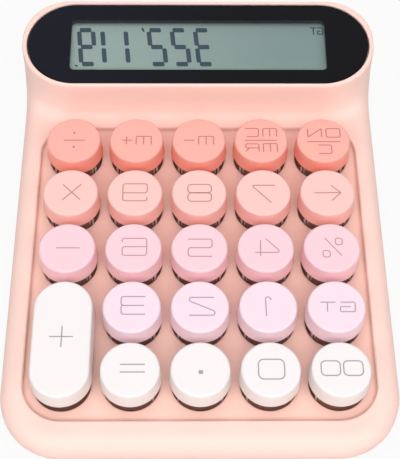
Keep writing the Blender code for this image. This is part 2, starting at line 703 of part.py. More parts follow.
def add_socket(cap):
    """The post under a cap's roof, with the slot for the stem's cross."""
    tip = SLIDER_TOP + FIT
    boolean(cap, cylinders("socket", [(0.0, 0.0)], SOCKET_RADIUS, tip, -CAP_ROOF / 2,
                           SOCKET_STEPS), "UNION")
    boolean(cap, cross_cutter("socket_cut", CROSS_SPAN + 2 * FIT, CROSS_BAR + 2 * FIT,
                              tip - OVERRUN, -CAP_ROOF), "DIFFERENCE")


def round_cap_mesh():
    """A turned cap: crown, tapered skirt, hollow and socket, with its cross cut."""
    skirt = CAP_SKIRT_RADIUS - CAP_WALL
    profile = [(0.0, 0.0)] + cap_profile()
    profile += [(skirt, -CAP_HEIGHT), (skirt - CAP_DRAFT, -CAP_ROOF), (0.0, -CAP_ROOF)]
    cap = turned("round_cap", profile)
    add_socket(cap)
    return baked_mesh(cap, "round_cap")


def long_cap_mesh():
    """The long cap, with the same section, one socket and two guide posts."""
    profile = cap_profile()
    rings = [[(x, y, z) for x, y in long_outline(radius)] for radius, z in reversed(profile)]
    cap = loft("long_cap", rings)
    skirt = CAP_SKIRT_RADIUS - CAP_WALL
    hollow = [[(x, y, z) for x, y in long_outline(radius)]
              for radius, z in ((skirt, -CAP_HEIGHT - WELD), (skirt - CAP_DRAFT, -CAP_ROOF))]
    boolean(cap, loft("long_hollow", hollow, cutter=True), "DIFFERENCE")
    add_socket(cap)
    guides = [(0.0, side * GUIDE_REACH) for side in (-1, 1)]
    boolean(cap, cylinders("guides", guides, GUIDE_RADIUS, -CAP_ROOF - GUIDE_LENGTH,
                           -CAP_ROOF / 2, SOCKET_STEPS), "UNION")
    return baked_mesh(cap, "long_cap")


def keys(deck):
    """Every key: a cap in its row's colour on the stem of its switch."""
    stem_shape = stem_mesh()
    round_shape = round_cap_mesh()
    long_shape = long_cap_mesh()
    stem_look = material("stem_white", (0.75, 0.73, 0.70), 0.4)
    for name, row, x, y in key_places():
        cap_shape = long_shape if name == LONG_KEY else round_shape.copy()
        cap = add_object("keycap_" + name, cap_shape, deck, (x, y, 0.0))
        finish(cap, material("cap_row_" + str(row), ROW_COLOURS[row], 0.45))
        stem = add_object("switch_stem_" + name, stem_shape.copy(), deck, (x, y, 0.0))
        finish(stem, stem_look)


def bay_box():
    """World-frame box of the battery bay's hollow: its low and high corners."""
    middle = base_back() - BATTERY_SETBACK
    half_length = BATTERY_LENGTH / 2 + CONTACT_SPACE
    half_depth = BATTERY_RADIUS + BAY_SIDE_GAP
    top = BASE_TOP + 2 * BATTERY_RADIUS + 2 * FIT
    return (-half_length, middle - half_depth, BASE_TOP), (half_length, middle + half_depth, top)


def base_back():
    """World y of the case's back edge at the underside."""
    return DECK_SHIFT + CASE_BACK / COS_SLOPE + (DECK_HEIGHT - BASE_TOP) * TAN_SLOPE


def door_box(gap):
    """World-frame corners of the door's opening, drawn in by a gap."""
    low, high = bay_box()
    return ((low[0] - DOOR_MARGIN + gap, low[1] - DOOR_MARGIN + gap, FOOT_STANDOFF - OVERRUN),
            (high[0] + DOOR_MARGIN - gap, base_back() + OVERRUN, BASE_TOP + OVERRUN))


def tongue_box(gap):
    """World-frame corners of the two tongues on the door's sides, grown by a gap."""
    low, high = door_box(FIT)
    middle = (FOOT_STANDOFF + BASE_TOP) / 2
    half = DOOR_TONGUE_THICKNESS / 2 + gap
    return ((low[0] - DOOR_TONGUE - gap, low[1] + DOOR_TONGUE - gap, middle - half),
            (high[0] + DOOR_TONGUE + gap, high[1] + gap, middle + half))


def base_slab(name):
    """The lower shell's floor with its rounded edge and locating lip, not yet hollowed."""
    rings = []
    for step in range(BASE_FILLET_STEPS + 1):
        angle = math.pi / 2 * step / BASE_FILLET_STEPS
        height = FOOT_STANDOFF + BASE_FILLET * (1 - math.cos(angle))
        rings.append(base_ring(BASE_FILLET * (1 - math.sin(angle)), height, height))
    rings.append(base_ring(0.0, BASE_TOP, BASE_TOP))
    return loft(name, rings)


def foot_places():
    """World-frame places of the four feet, with their names."""
    x = CASE_HALF - FOOT_MARGIN_SIDE
    front = DECK_SHIFT + FRONT_REACH + FOOT_MARGIN_FRONT
    back = base_back() - BATTERY_SETBACK * 2 - FOOT_MARGIN_BACK
    return (("front_left", -x, front), ("front_right", x, front),
            ("back_left", -x, back), ("back_right", x, back))


def bottom_case(look):
    """The lower shell: floor, lip, screw bosses, board posts, battery bay and foot recesses."""
    shell = base_slab("bottom_case")
    lip_inset = CASE_WALL + FIT
    lip_top = CASE_BOTTOM + BASE_LIP_HEIGHT
    lip = [base_ring(lip_inset, height, CASE_BOTTOM)
           for height in (BASE_TOP - BASE_THICKNESS / 2, lip_top)]
    boolean(shell, loft("base_lip", lip, cutter=True), "UNION")
    room_inset = lip_inset + BASE_LIP_WALL
    room = [base_ring(room_inset, height, CASE_BOTTOM)
            for height in (BASE_TOP, lip_top + OVERRUN)]
    boolean(shell, loft("base_room", room, cutter=True), "DIFFERENCE")
    screws_at = [deck_to_world(x, y, level_in_deck(y, BASE_TOP))[:2] for x, y in screw_places()]
    boolean(shell, cylinders("lip_notches", screws_at, SCREW_POST_RADIUS + 2 * FIT,
                             BASE_TOP, lip_top + OVERRUN, SOCKET_STEPS), "DIFFERENCE")
    boss_radius = SCREW_POST_RADIUS - SCREW_POST_SINK - FIT
    boolean(shell, cylinders("screw_bosses", screws_at, boss_radius,
                             BASE_TOP - BASE_THICKNESS / 2, BASE_TOP + SCREW_BOSS,
                             SOCKET_STEPS), "UNION")

    low, high = bay_box()
    wall = Vector((BAY_WALL, BAY_WALL, 0.0))
    roof = Vector((BAY_WALL, BAY_WALL, BAY_WALL))
    sunk = Vector((0.0, 0.0, -BASE_THICKNESS / 2))
    boolean(shell, box("bay_walls", Vector(low) - wall + sunk, Vector(high) + roof,
                       cutter=True), "UNION")
    boolean(shell, box("bay_hollow", Vector(low) + 2 * sunk - Vector((0.0, 0.0, OVERRUN)),
                       high, cutter=True), "DIFFERENCE")
    opening_low, opening_high = door_box(0.0)
    opening_high = (opening_high[0], opening_high[1], BASE_TOP)
    boolean(shell, box("door_opening", opening_low, opening_high, cutter=True), "DIFFERENCE")
    boolean(shell, box("tongue_grooves", *tongue_box(FIT), cutter=True), "DIFFERENCE")
    lip_low = (opening_low[0], high[1] + BAY_WALL, BASE_TOP - FIT)
    lip_high = (opening_high[0], opening_high[1], lip_top + OVERRUN)
    boolean(shell, box("lip_gap", lip_low, lip_high, cutter=True), "DIFFERENCE")

    board_places = []
    for x, y in grid(BOARD_POST_COLUMNS, BOARD_POST_ROWS):
        board_places.append(deck_to_world(x, y, BOARD_UNDERSIDE)[:2])

    def under_board(world_y):
        y = (world_y - DECK_SHIFT + BOARD_UNDERSIDE * SIN_SLOPE) / COS_SLOPE
        return deck_to_world(0.0, y, BOARD_UNDERSIDE)[2] - FIT

    board_posts = posts("board_posts", board_places, BOARD_POST_RADIUS,
                        lambda y: BASE_TOP - BASE_THICKNESS / 2, under_board, SOCKET_STEPS)
    boolean(shell, board_posts, "UNION")
    boolean(shell, cylinders("screw_holes", screws_at, SCREW_HOLE_RADIUS,
                             FOOT_STANDOFF - OVERRUN, BASE_TOP + SCREW_BOSS + OVERRUN,
                             SOCKET_STEPS), "DIFFERENCE")
    boolean(shell, cylinders("screw_heads", screws_at, SCREW_HEAD_RADIUS,
                             FOOT_STANDOFF - OVERRUN, FOOT_STANDOFF + SCREW_HEAD_DEPTH,
                             SOCKET_STEPS), "DIFFERENCE")
    feet_at = [(x, y) for _, x, y in foot_places()]
    boolean(shell, cylinders("foot_recesses", feet_at, FOOT_RADIUS + FIT,
                             FOOT_STANDOFF - OVERRUN, FOOT_STANDOFF + FOOT_RECESS),
            "DIFFERENCE")
    finish(shell, look)


def battery_door(look):
    """The sliding door: the floor's own section between the grooves, with side tongues."""
    door = base_slab("battery_door")
    boolean(door, box("door_block", *door_box(FIT), cutter=True), "INTERSECT")
    low, high = tongue_box(0.0)
    tongue_high = (high[0], base_back() - BASE_FILLET, high[2])
    boolean(door, box("tongues", low, tongue_high, cutter=True), "UNION")
    first = base_back() - BATTERY_SETBACK / 2
    for index in range(DOOR_GRIP_COUNT):
        y = first - index * DOOR_GRIP_PITCH
        groove = box("grip_" + str(index),
                     (-DOOR_GRIP_HALF, y - DOOR_GRIP_WIDTH / 2, FOOT_STANDOFF - OVERRUN),
                     (DOOR_GRIP_HALF, y + DOOR_GRIP_WIDTH / 2, FOOT_STANDOFF + DOOR_GRIP_DEPTH),
                     cutter=True)
        boolean(door, groove, "DIFFERENCE")
    finish(door, look)


def battery():
    """One slim cell, turned about the world X axis."""
    half = BATTERY_LENGTH / 2
    profile = [(0.0, half), (BATTERY_NUB_RADIUS, half),
               (BATTERY_NUB_RADIUS, half - BATTERY_NUB_LENGTH),
               (BATTERY_RADIUS - BATTERY_EDGE, half - BATTERY_NUB_LENGTH),
               (BATTERY_RADIUS, half - BATTERY_NUB_LENGTH - BATTERY_EDGE),
               (BATTERY_RADIUS, -half), (0.0, -half)]
    middle = (0.0, base_back() - BATTERY_SETBACK, BASE_TOP + FIT + BATTERY_RADIUS)
    cell = turned("battery", profile, location=middle)
    cell.rotation_euler = Euler((0.0, math.pi / 2, 0.0))
    finish(cell, material("battery_jacket", (0.05, 0.05, 0.06), 0.35, 0.3))


def feet():
    """Four round rubber feet in their recesses."""
    look = material("foot_rubber", (0.62, 0.60, 0.58), 0.8)
    top = FOOT_STANDOFF + FOOT_RECESS - FIT
    profile = [(0.0, top), (FOOT_RADIUS, top), (FOOT_RADIUS, FOOT_EDGE),
               (FOOT_RADIUS - FOOT_EDGE, 0.0), (0.0, 0.0)]
    for name, x, y in foot_places():
        finish(turned("foot_" + name, profile, location=(x, y, 0.0)), look)


def main():
    clear_scene()
    deck = empty("deck_frame", (0.0, DECK_SHIFT, DECK_HEIGHT), (DECK_SLOPE, 0.0, 0.0))
    shell_look = material("case_pink", (0.95, 0.66, 0.55), 0.5)
    pod_frame = top_case(deck, shell_look)
    display(pod_frame)
    switch_plate(deck)
    circuit_board(deck)
    keys(deck)
    bottom_case(shell_look)
    battery_door(shell_look)
    battery()
    feet()


main()
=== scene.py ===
# %% [markdown]
# # A desk calculator with keyboard-style keys
#
# The lesson dresses a solid model of a small desk calculator: a wedge-shaped case in soft
# pink plastic, a black display window, and 24 round keys on mechanical switches. The solid
# model is loaded as a fixed frame. Each piece that shows is then made again as a fine
# surface worked out with numpy, in the same place, and gets a material made of nodes.
# The view that the model follows shows the calculator the wrong way round, as in a mirror,
# so the layout and the signs on the keys are kept that way.

# %% Load the frame
import math

import bmesh
import bpy
import numpy as np
from mathutils import Matrix, Vector
from mathutils.geometry import delaunay_2d_cdt


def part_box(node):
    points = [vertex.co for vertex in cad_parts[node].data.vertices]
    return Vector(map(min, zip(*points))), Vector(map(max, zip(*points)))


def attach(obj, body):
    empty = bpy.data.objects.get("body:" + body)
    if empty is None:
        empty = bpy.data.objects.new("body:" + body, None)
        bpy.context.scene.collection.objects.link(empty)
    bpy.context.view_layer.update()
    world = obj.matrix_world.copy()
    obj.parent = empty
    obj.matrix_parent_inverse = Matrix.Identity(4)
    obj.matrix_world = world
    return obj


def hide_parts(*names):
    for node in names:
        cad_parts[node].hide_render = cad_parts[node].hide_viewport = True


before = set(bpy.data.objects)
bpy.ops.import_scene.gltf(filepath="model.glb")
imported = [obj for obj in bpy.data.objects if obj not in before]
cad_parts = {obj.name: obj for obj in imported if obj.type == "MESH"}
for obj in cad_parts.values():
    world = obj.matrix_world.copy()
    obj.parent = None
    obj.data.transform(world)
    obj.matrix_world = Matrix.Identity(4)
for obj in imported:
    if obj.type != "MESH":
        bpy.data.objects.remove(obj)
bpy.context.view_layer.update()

# %% [markdown]
# ## One frame for all the pieces
#
# The key deck slopes up to the back by five degrees. It is far easier to think in a frame
# that lies on the deck: x to the right, y up the slope, z straight out of it, in
# millimetres, with the origin at the cap of the middle key in the front row. One function
# turns such points into the metres of the world. The display pod is tilted a little more,
# so it has a second function. The lengths repeat those of the solid model.

# %% The deck frame and the pod frame
MM = 0.001
DECK_SLOPE = math.radians(5.0)
DECK_SHIFT = -54.71707      # deck origin in the world, in millimetres
DECK_HEIGHT = 24.15694
PITCH = 19.05
POD_MIDDLE = 109.15
POD_LEVEL = 6.7
POD_TILT = math.radians(4.0)


def deck_place(points):
    """World metres of deck points: turn about x by the slope, then shift."""
    x, y, z = np.moveaxis(np.asarray(points, float), -1, 0)
    cos, sin = math.cos(DECK_SLOPE), math.sin(DECK_SLOPE)
    return np.stack([x, DECK_SHIFT + y * cos - z * sin, DECK_HEIGHT + y * sin + z * cos], -1) * MM


def pod_place(points):
    """World metres of pod points: turn about x by the tilt, then as any deck point."""
    x, y, z = np.moveaxis(np.asarray(points, float), -1, 0)
    cos, sin = math.cos(POD_TILT), math.sin(POD_TILT)
    return deck_place(np.stack([x, POD_MIDDLE + y * cos - z * sin,
                                POD_LEVEL + y * sin + z * cos], -1))


def world_place(points):
    """World metres of points that are already in the world's directions."""
    return np.asarray(points, float) * MM


low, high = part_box("keycap_dot")
top = deck_place([[0.0, 0.0, 0.0]])[0]
print("middle front cap reaches", round(high.z / MM, 2), "mm, deck origin at",
      round(top[2] / MM, 2), "mm")

# %% [markdown]
# ## Surfaces from arrays
#
# Every shape here is a closed path that is carried from ring to ring: round a corner, up a
# wall, over an edge, down a hole. A ring is one array of points, and a band joins two
# neighbouring rings by four-sided faces. Flat parts with holes in them, such as the key
# deck, are filled by triangles between the rings. A small class gathers these patches and
# welds the points they share, so that each piece ends as one closed skin.

# %% Patches, bands and flat fills
class Patchwork:
    """Patches of one skin. Rings run anticlockwise seen from above."""

    def __init__(self):
        self.points = []
        self.faces = []
        self.count = 0
        # One value per point: its share of painted shade in the material.
        self.values = []

    def add(self, points, faces, value=0.0):
        points = np.asarray(points, float).reshape(-1, 3)
        self.points.append(points)
        self.faces += [[index + self.count for index in face] for face in faces]
        self.values.append(np.broadcast_to(value, len(points)))
        self.count += len(points)

    def band(self, rings, closed=True, value=0.0):
        """Four-sided faces from each ring to the next; rings that climb face outwards."""
        rings = np.asarray(rings, float)
        rows, size = rings.shape[:2]
        index = np.arange(rows * size).reshape(rows, size)
        after = np.roll(index, -1, 1)
        if not closed:
            index, after = index[:, :-1], after[:, :-1]
        faces = np.stack([index[:-1], after[:-1], after[1:], index[1:]], -1).reshape(-1, 4)
        self.add(rings, faces.tolist(), np.repeat(np.broadcast_to(value, rows), size))

    def lid(self, ring, up=True, value=0.0):
        """One flat face over a ring."""
        order = list(range(len(ring)))
        self.add(ring, [order if up else order[::-1]], value)

    def solid(self, rings):
        """A closed solid through rings from the lowest to the highest."""
        self.band(rings)
        self.lid(rings[-1])
        self.lid(rings[0], up=False)

    def fill(self, lines, keep, height, up=True, value=0.0):
        """Triangles between lines, at a height or where a function of the plan puts them."""
        plan, faces = triangulate(lines, keep)
        points = height(plan) if callable(height) else ring_at(plan, height)
        self.add(points, (faces if up else faces[:, ::-1]).tolist(), value)


def ring_at(plan, height):
    """A plan's (x, y) points with a height, which may be a number or one for each point."""
    plan = np.asarray(plan, float)
    return np.column_stack([plan, np.broadcast_to(height, len(plan))])


def triangulate(lines, keep):
    """Triangles between closed lines, or lines that say which of their steps are edges."""
    lines = [line if isinstance(line, tuple) else (line, np.ones(len(line), bool))
             for line in lines]
    points = np.concatenate([line for line, _ in lines])
    edges = []
    start = 0
    for line, steps in lines:
        index = np.arange(len(line))
        pairs = np.column_stack([index, np.roll(index, -1)]) + start
        edges += pairs[steps].tolist()
        start += len(line)
    found, _, faces, origins, _, _ = delaunay_2d_cdt(
        [Vector(point) for point in points], edges, [], 0, 1e-5)
    plan = np.array([tuple(point) for point in found])
    for index, origin in enumerate(origins):
        if origin:
            plan[index] = points[origin[0]]
    faces = np.array(faces)
    corners = plan[faces]
    turn = np.cross(corners[:, 1] - corners[:, 0], corners[:, 2] - corners[:, 0])
    faces[turn < 0] = faces[turn < 0][:, ::-1]
    middle = corners.mean(1)
    return plan, faces[keep(middle[:, 0], middle[:, 1]) & (abs(turn) > 1e-9)]


WELD = 0.002 * MM
pieces_made = []


def skin(name, patches, place, outward=False):
    """The welded mesh of some patches in world metres, with each point's share of painted shade."""
    mesh = bpy.data.meshes.new(name)
    mesh.from_pydata(place(np.concatenate(patches.points)).tolist(), [], patches.faces)
    # Each point's share of painted shade: how much of a material's second, deeper colour it gets.
    painted_shade_values = mesh.attributes.new("painted_shade", "FLOAT", "POINT")
    painted_shade_values.data.foreach_set("value", np.concatenate(patches.values))
    shape = bmesh.new()
    shape.from_mesh(mesh)
    bmesh.ops.remove_doubles(shape, verts=shape.verts, dist=WELD)
    bmesh.ops.dissolve_degenerate(shape, edges=shape.edges, dist=WELD / 2)
    if outward:
        bmesh.ops.recalc_face_normals(shape, faces=shape.faces)
    shape.to_mesh(mesh)
    shape.free()
    return mesh


def show(name, mesh, body, material, replaces=(), sharp=30.0):
    """The finished object: smooth up to a sharp angle, dressed, riding on its body."""
    mesh.shade_smooth()
    mesh.set_sharp_from_angle(angle=math.radians(sharp))
    mesh.materials.clear()
    mesh.materials.append(material)
    made = bpy.data.objects.new(name, mesh)
    bpy.context.scene.collection.objects.link(made)
    weighted = made.modifiers.new("even_shading", "WEIGHTED_NORMAL")
    weighted.keep_sharp = True
    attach(made, body)
    if replaces:
        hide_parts(*replaces)
    shape = bmesh.new()
    shape.from_mesh(mesh)
    open_edges = sum(not edge.is_manifold for edge in shape.edges)
    pieces_made.append((name, len(mesh.polygons), open_edges))
    shape.free()
    return made


def piece(name, patches, place, body, material, replaces=(), sharp=30.0, outward=False):
    """Patches made into one finished object."""
    return show(name, skin(name, patches, place, outward), body, material, replaces, sharp)


def carve(mesh, *steps):
    """A mesh cut, joined or met by others. Each step is an operation and a closed mesh."""
    made = bpy.data.objects.new("carving", mesh)
    bpy.context.scene.collection.objects.link(made)
    tools = []
    for operation, shape in steps:
        tool = bpy.data.objects.new("tool", shape)
        bpy.context.scene.collection.objects.link(tool)
        tools.append(tool)
        step = made.modifiers.new("step", "BOOLEAN")
        step.operation = operation
        step.solver = "EXACT"
        step.object = tool
    bpy.context.view_layer.update()
    graph = bpy.context.evaluated_depsgraph_get()
    carved = bpy.data.meshes.new_from_object(made.evaluated_get(graph))
    for item in (made, *tools):
        bpy.data.objects.remove(item, do_unlink=True)
    return carved


# %% [markdown]
# ## Writing materials as sums
#
# A node material is arithmetic on values that change over a surface. A small class wraps a
# socket so that the arithmetic can be written down as such: a sum of two values adds a
# Math node. Anything else, from a noise to a colour mix, comes from one method that makes
# a node of any type. What is the same all over is set on the shader's own socket.

# %% A value that can be summed and a recipe that holds the nodes
class Value:
    """A socket in a recipe."""

    def __init__(self, recipe, socket):
        self.recipe = recipe
        self.socket = socket

    def __add__(self, other):
        return self.recipe.maths("ADD", self, other)

    def __sub__(self, other):
        return self.recipe.maths("SUBTRACT", self, other)

    def __mul__(self, other):
        return self.recipe.maths("MULTIPLY", self, other)

    __radd__ = __add__
    __rmul__ = __mul__


class Recipe:
    """One material: its nodes, and the Principled shader that they feed."""

    def __init__(self, name, **constants):
        self.material = bpy.data.materials.new(name)
        self.material.use_nodes = True
        self.tree = self.material.node_tree
        self.surface = self.tree.nodes["Principled BSDF"]
        for socket, number in constants.items():
            self.surface.inputs[socket.replace("_", " ")].default_value = number

    def feed(self, socket, value):
        if isinstance(value, Value):
            self.tree.links.new(value.socket, socket)
        else:
            socket.default_value = value

    def node(self, kind, settings=(), inputs=(), output=0):
        """Any node: its settings first, then the numbers or links of its sockets."""
        made = self.tree.nodes.new("ShaderNode" + kind)
        for key, value in dict(settings).items():
            setattr(made, key, value)
        for key, value in dict(inputs).items():
            self.feed(made.inputs[key], value)
        return Value(self, made.outputs[output])

    def maths(self, operation, first, second):
        return self.node("Math", {"operation": operation}, {0: first, 1: second})

    def span(self, value, low, high):
        """0 below low, 1 above high, smooth between."""
        return self.node("MapRange", {"interpolation_type": "SMOOTHSTEP"},
                         {"Value": value, "From Min": low, "From Max": high})

    def mix(self, share, first, second, blend="MIX"):
        """Colours in the shares 1 - share and share."""
        return self.node("Mix", {"data_type": "RGBA", "blend_type": blend},
                         {0: share, 6: first, 7: second}, 2)

    def place(self):
        """Object coordinates, in metres."""
        return self.node("TexCoord", output=3)

    def along(self, axis):
        """One of the object coordinates."""
        return self.node("SeparateXYZ", inputs={0: self.place()}, output=axis)

    def noise(self, size, detail=2.0):
        """Noise from 0 to 1 whose spots are about size millimetres across."""
        return self.node("TexNoise", inputs={"Vector": self.place(), "Scale": 1.0 / (size * MM),
                                             "Detail": detail})

    def bump(self, height, depth):
        """Normals of a height from 0 to 1 that stands for depth millimetres."""
        return self.node("Bump", inputs={"Height": height, "Distance": depth * MM,
                                         "Strength": 1.0})

    def give(self, socket, value):
        self.feed(self.surface.inputs[socket], value)


def tint(red, green, blue):
    """The shader's linear colour for red, green and blue as a screen shows them, 0 to 255."""
    screen = np.array([red, green, blue]) / 255.0
    linear = np.where(screen <= 0.04045, screen / 12.92, ((screen + 0.055) / 1.055) ** 2.4)
    return (*linear.tolist(), 1.0)


# %% [markdown]
# ## Moulded plastic
#
# Case and caps are injection moulded with a fine eroded grain: tiny pits, a quarter of a
# millimetre across, which turn a glossy plastic silky. Under the grain lies a slight
# waviness from cooling, and the pigment is never quite even. All three are noises of
# different sizes. The caps are painted lighter on top than on the skirt, and the case's
# deck and tray a deeper pink than its rim: painted shade, whose share is a value stored
# with the mesh points.

# %% Plastic recipes
def plastic(name, colour, roughness=0.46, grain=0.22, depth=0.010, second=None, gloss=0.3):
    """Grained plastic. With a second colour, the points' painted_shade value mixes in that colour
    as painted shade.
    """
    made = Recipe(name, IOR=1.47, Specular_IOR_Level=gloss)
    base = colour
    # The second colour is painted shade, mixed in by each point's painted_shade share.
    if second:
        share = made.node("Attribute", {"attribute_name": "painted_shade"}, output=2)
        base = made.mix(share, colour, second)
    clouds = made.noise(14.0, 3.0)
    pale = made.mix(clouds * 0.05, base, tint(255, 250, 246))
    pits = made.noise(grain, 2.5)
    dark = made.span(pits, 0.52, 0.75) * 0.05
    made.give("Base Color", made.mix(dark, pale, tint(150, 90, 80), "MULTIPLY"))
    made.give("Roughness", roughness + (made.noise(3.0) - 0.5) * 0.10 + (pits - 0.5) * 0.04)
    waves = made.noise(9.0, 1.0)
    made.give("Normal", made.bump(pits + waves * 1.2, depth))
    return made.material


# The case's second colour is painted shade: a deeper pink for the tray and the deck between the
# keys.
case_plastic = plastic("case_plastic", tint(253, 215, 204), second=tint(254, 207, 193))
base_plastic = plastic("base_plastic", tint(253, 215, 204))
# Crown and skirt colour of each row. The skirt colour is painted shade and light: the same plastic
# drawn deeper and more saturated down the sides.
KEY_TINTS_WITH_PAINTED_SHADE = (
    ((242, 236, 236), (240, 230, 226)),
    ((245, 221, 232), (252, 220, 229)),
    ((249, 208, 217), (255, 202, 207)),
    ((250, 200, 193), (255, 186, 176)),
    ((250, 177, 164), (254, 156, 136)),
)
cap_plastics = [
    plastic("cap_plastic_row_" + str(row), tint(*crown), 0.42, 0.16, 0.006, tint(*shaded_skirt))
    for row, (crown, shaded_skirt) in enumerate(KEY_TINTS_WITH_PAINTED_SHADE)]

# %% [markdown]
# ## Camera, light and floor
#
# The camera stands where the picture was taken: about 39 cm from the keys, looking down at
# 58 degrees to the deck through a long lens. Its place was solved from the key centres.
#
# Five large soft lamps stand around the calculator: one overhead, one in front, one at each
# side and a weaker one behind, which reaches the deck between the caps. With a pale sky they
# keep the faces turned to the viewer nearly as bright as the tops. The floor is plain and
# pale. The camera sees it almost white, but it keeps the object's shadow.

# %% Camera
CAMERA_AT = (-3.663, -125.059, 275.791)
CAMERA_DIP = 1.020556       # below the deck plane, in radians
CAMERA_YAW = -0.022640
CAMERA_ROLL = -0.018721
FOCAL_PIXELS = 1114.86
FRAME_PIXELS = 400
SENSOR = 36.0

dip = np.array([[0.0, math.cos(CAMERA_DIP), -math.sin(CAMERA_DIP)],
                [0.0, math.sin(CAMERA_DIP), math.cos(CAMERA_DIP)],
                [1.0, 0.0, 0.0]])
yaw = np.array([[math.cos(CAMERA_YAW), -math.sin(CAMERA_YAW), 0.0],
                [math.sin(CAMERA_YAW), math.cos(CAMERA_YAW), 0.0],
                [0.0, 0.0, 1.0]])
forward, up, right = dip @ yaw.T
up, right = (math.cos(CAMERA_ROLL) * up + math.sin(CAMERA_ROLL) * right,
             math.cos(CAMERA_ROLL) * right - math.sin(CAMERA_ROLL) * up)
origin = deck_place([CAMERA_AT])[0]
camera_axes = [(deck_place([np.array(CAMERA_AT) + axis])[0] - origin) / MM
               for axis in (right, up, -forward)]
camera = bpy.data.objects.new("camera", bpy.data.cameras.new("camera"))
bpy.context.scene.collection.objects.link(camera)
camera_turn = Matrix(np.array(camera_axes).T.tolist())
camera.matrix_world = Matrix.LocRotScale(Vector(origin), camera_turn, None)
camera.data.sensor_fit = "HORIZONTAL"
camera.data.sensor_width = SENSOR
camera.data.lens = SENSOR * FOCAL_PIXELS / FRAME_PIXELS
camera.data.clip_start = 0.01
bpy.context.scene.camera = camera
print("camera at", np.round(origin, 3), "lens", round(camera.data.lens, 1), "mm")


# %% Light and floor
LAMPS = (                   # name, place in metres, watts
    ("top_light", (0.0, -0.15, 1.25), 3.0),
    ("front_light", (0.0, -0.85, 1.0), 6.6),
    ("left_light", (-0.8, -0.95, 0.9), 4.9),
    ("right_light", (0.8, -0.95, 0.9), 5.6),
    ("back_light", (0.0, 1.2, 0.8), 3.6),
)
LAMP_SIZE = 0.85
SKY_FILL = 0.28             # light of the sky, where the camera sees 1
FLOOR_GLOW = 0.9            # share of plain white in the floor that the camera sees
FLOOR_HALF = 3


def lamp(name, place, power):
    """A square area lamp that looks at the middle of the floor."""
    data = bpy.data.lights.new(name, "AREA")
    data.size = LAMP_SIZE
    data.energy = power
    made = bpy.data.objects.new(name, data)
    bpy.context.scene.collection.objects.link(made)
    made.location = place
    made.rotation_euler = (-Vector(place)).to_track_quat("-Z", "Y").to_euler()


def either(first, second):
    """The larger of two outputs of the sky's nodes."""
    made = sky.nodes.new("ShaderNodeMath")
    made.operation = "MAXIMUM"
    sky.links.new(first, made.inputs[0])
    sky.links.new(second, made.inputs[1])
    return made.outputs[0]


for name, place, power in LAMPS:
    lamp(name, place, power)

world = bpy.data.worlds.new("studio")
bpy.context.scene.world = world
world.use_nodes = True
sky = world.node_tree
background = sky.nodes["Background"]
ray = sky.nodes.new("ShaderNodeLightPath").outputs
strength = sky.nodes.new("ShaderNodeMapRange")
strength.inputs["To Min"].default_value = SKY_FILL
strength.inputs["To Max"].default_value = 1.0
sky.links.new(either(either(ray["Is Camera Ray"], ray["Is Glossy Ray"]),
                     ray["Is Transmission Ray"]), strength.inputs["Value"])
background.inputs["Color"].default_value = (1.0, 1.0, 1.0, 1.0)
sky.links.new(strength.outputs["Result"], background.inputs["Strength"])

paper = Recipe("floor_paper", Roughness=0.9)
paper.give("Base Color", paper.mix(paper.noise(40.0), tint(212, 211, 210), tint(219, 218, 217)))
glow = paper.node("Emission", inputs={"Color": (1.0, 1.0, 1.0, 1.0), "Strength": 1.0})
eye = paper.node("LightPath", output=0)
both = paper.node("MixShader", inputs={
    0: eye * FLOOR_GLOW, 1: Value(paper, paper.surface.outputs[0]), 2: glow})
paper.feed(paper.tree.nodes["Material Output"].inputs["Surface"], both)
floor_mesh = bpy.data.meshes.new("floor")
floor_mesh.from_pydata([(FLOOR_HALF * x, FLOOR_HALF * y, 0) for x, y in (
    (-1, -1), (1, -1), (1, 1), (-1, 1))], [], [(0, 1, 2, 3)])
floor_mesh.materials.append(paper.material)
floor = bpy.data.objects.new("floor", floor_mesh)
bpy.context.scene.collection.objects.link(floor)
bpy.context.scene.view_settings.view_transform = "Standard"

# %% [markdown]
# ## The plan of the case
#
# Seen from above, the case is a rectangle with round corners, and the display pod at its
# back is a bar as wide as the case, half round in front and with the case's own corners
# behind. Both plans are drawn in or out by an inset, and each keeps its number of points,
# so that rings of different insets pair up. The back halves of the two plans are the same
# points: there the wall of the case runs straight up into the pod. The window in the pod
# has a plan of its own, with two half-round ends.

# %% Plans
CASE_HALF = 55.5
CASE_FRONT = -19.95
CASE_BACK = 125.8
FRONT_RADIUS = 18.0
BACK_RADIUS = 14.8
POD_RADIUS = 16.65
WINDOW_HALF = 54.1
WINDOW_RADIUS = 15.45
TURN_POINTS = 36            # along a quarter turn
POD_CORNER_FROM = 86.0      # where the side starts to feel the pod

side_y = np.concatenate([np.linspace(CASE_FRONT + FRONT_RADIUS, POD_CORNER_FROM, 24)[:-1],
                         np.linspace(POD_CORNER_FROM, POD_MIDDLE, 64)])
back_x = np.linspace(CASE_HALF - BACK_RADIUS, BACK_RADIUS - CASE_HALF, 16)
front_x = np.linspace(POD_RADIUS - CASE_HALF, CASE_HALF - POD_RADIUS, 16)


def quarter(x, y, radius, turns, count=TURN_POINTS):
    """A quarter turn about (x, y), from turns of a right angle on."""
    angle = math.pi / 2 * np.linspace(turns, turns + 1, count)
    return np.column_stack([x + radius * np.cos(angle), y + radius * np.sin(angle)])


def joined(*runs):
    """A closed plan from runs that each end where the next one starts."""
    return np.concatenate([run[:-1] for run in runs])


def pod_back(inset):
    """The shared back half, from the right side's end to the left side's."""
    x, y = CASE_HALF - BACK_RADIUS, CASE_BACK - BACK_RADIUS
    end = np.array([[CASE_HALF - inset, POD_MIDDLE], [CASE_HALF - inset, y]])
    return (end, quarter(x, y, BACK_RADIUS - inset, 0),
            np.column_stack([back_x, np.full(len(back_x), CASE_BACK - inset)]),
            quarter(-x, y, BACK_RADIUS - inset, 1), end[::-1] * (-1, 1))


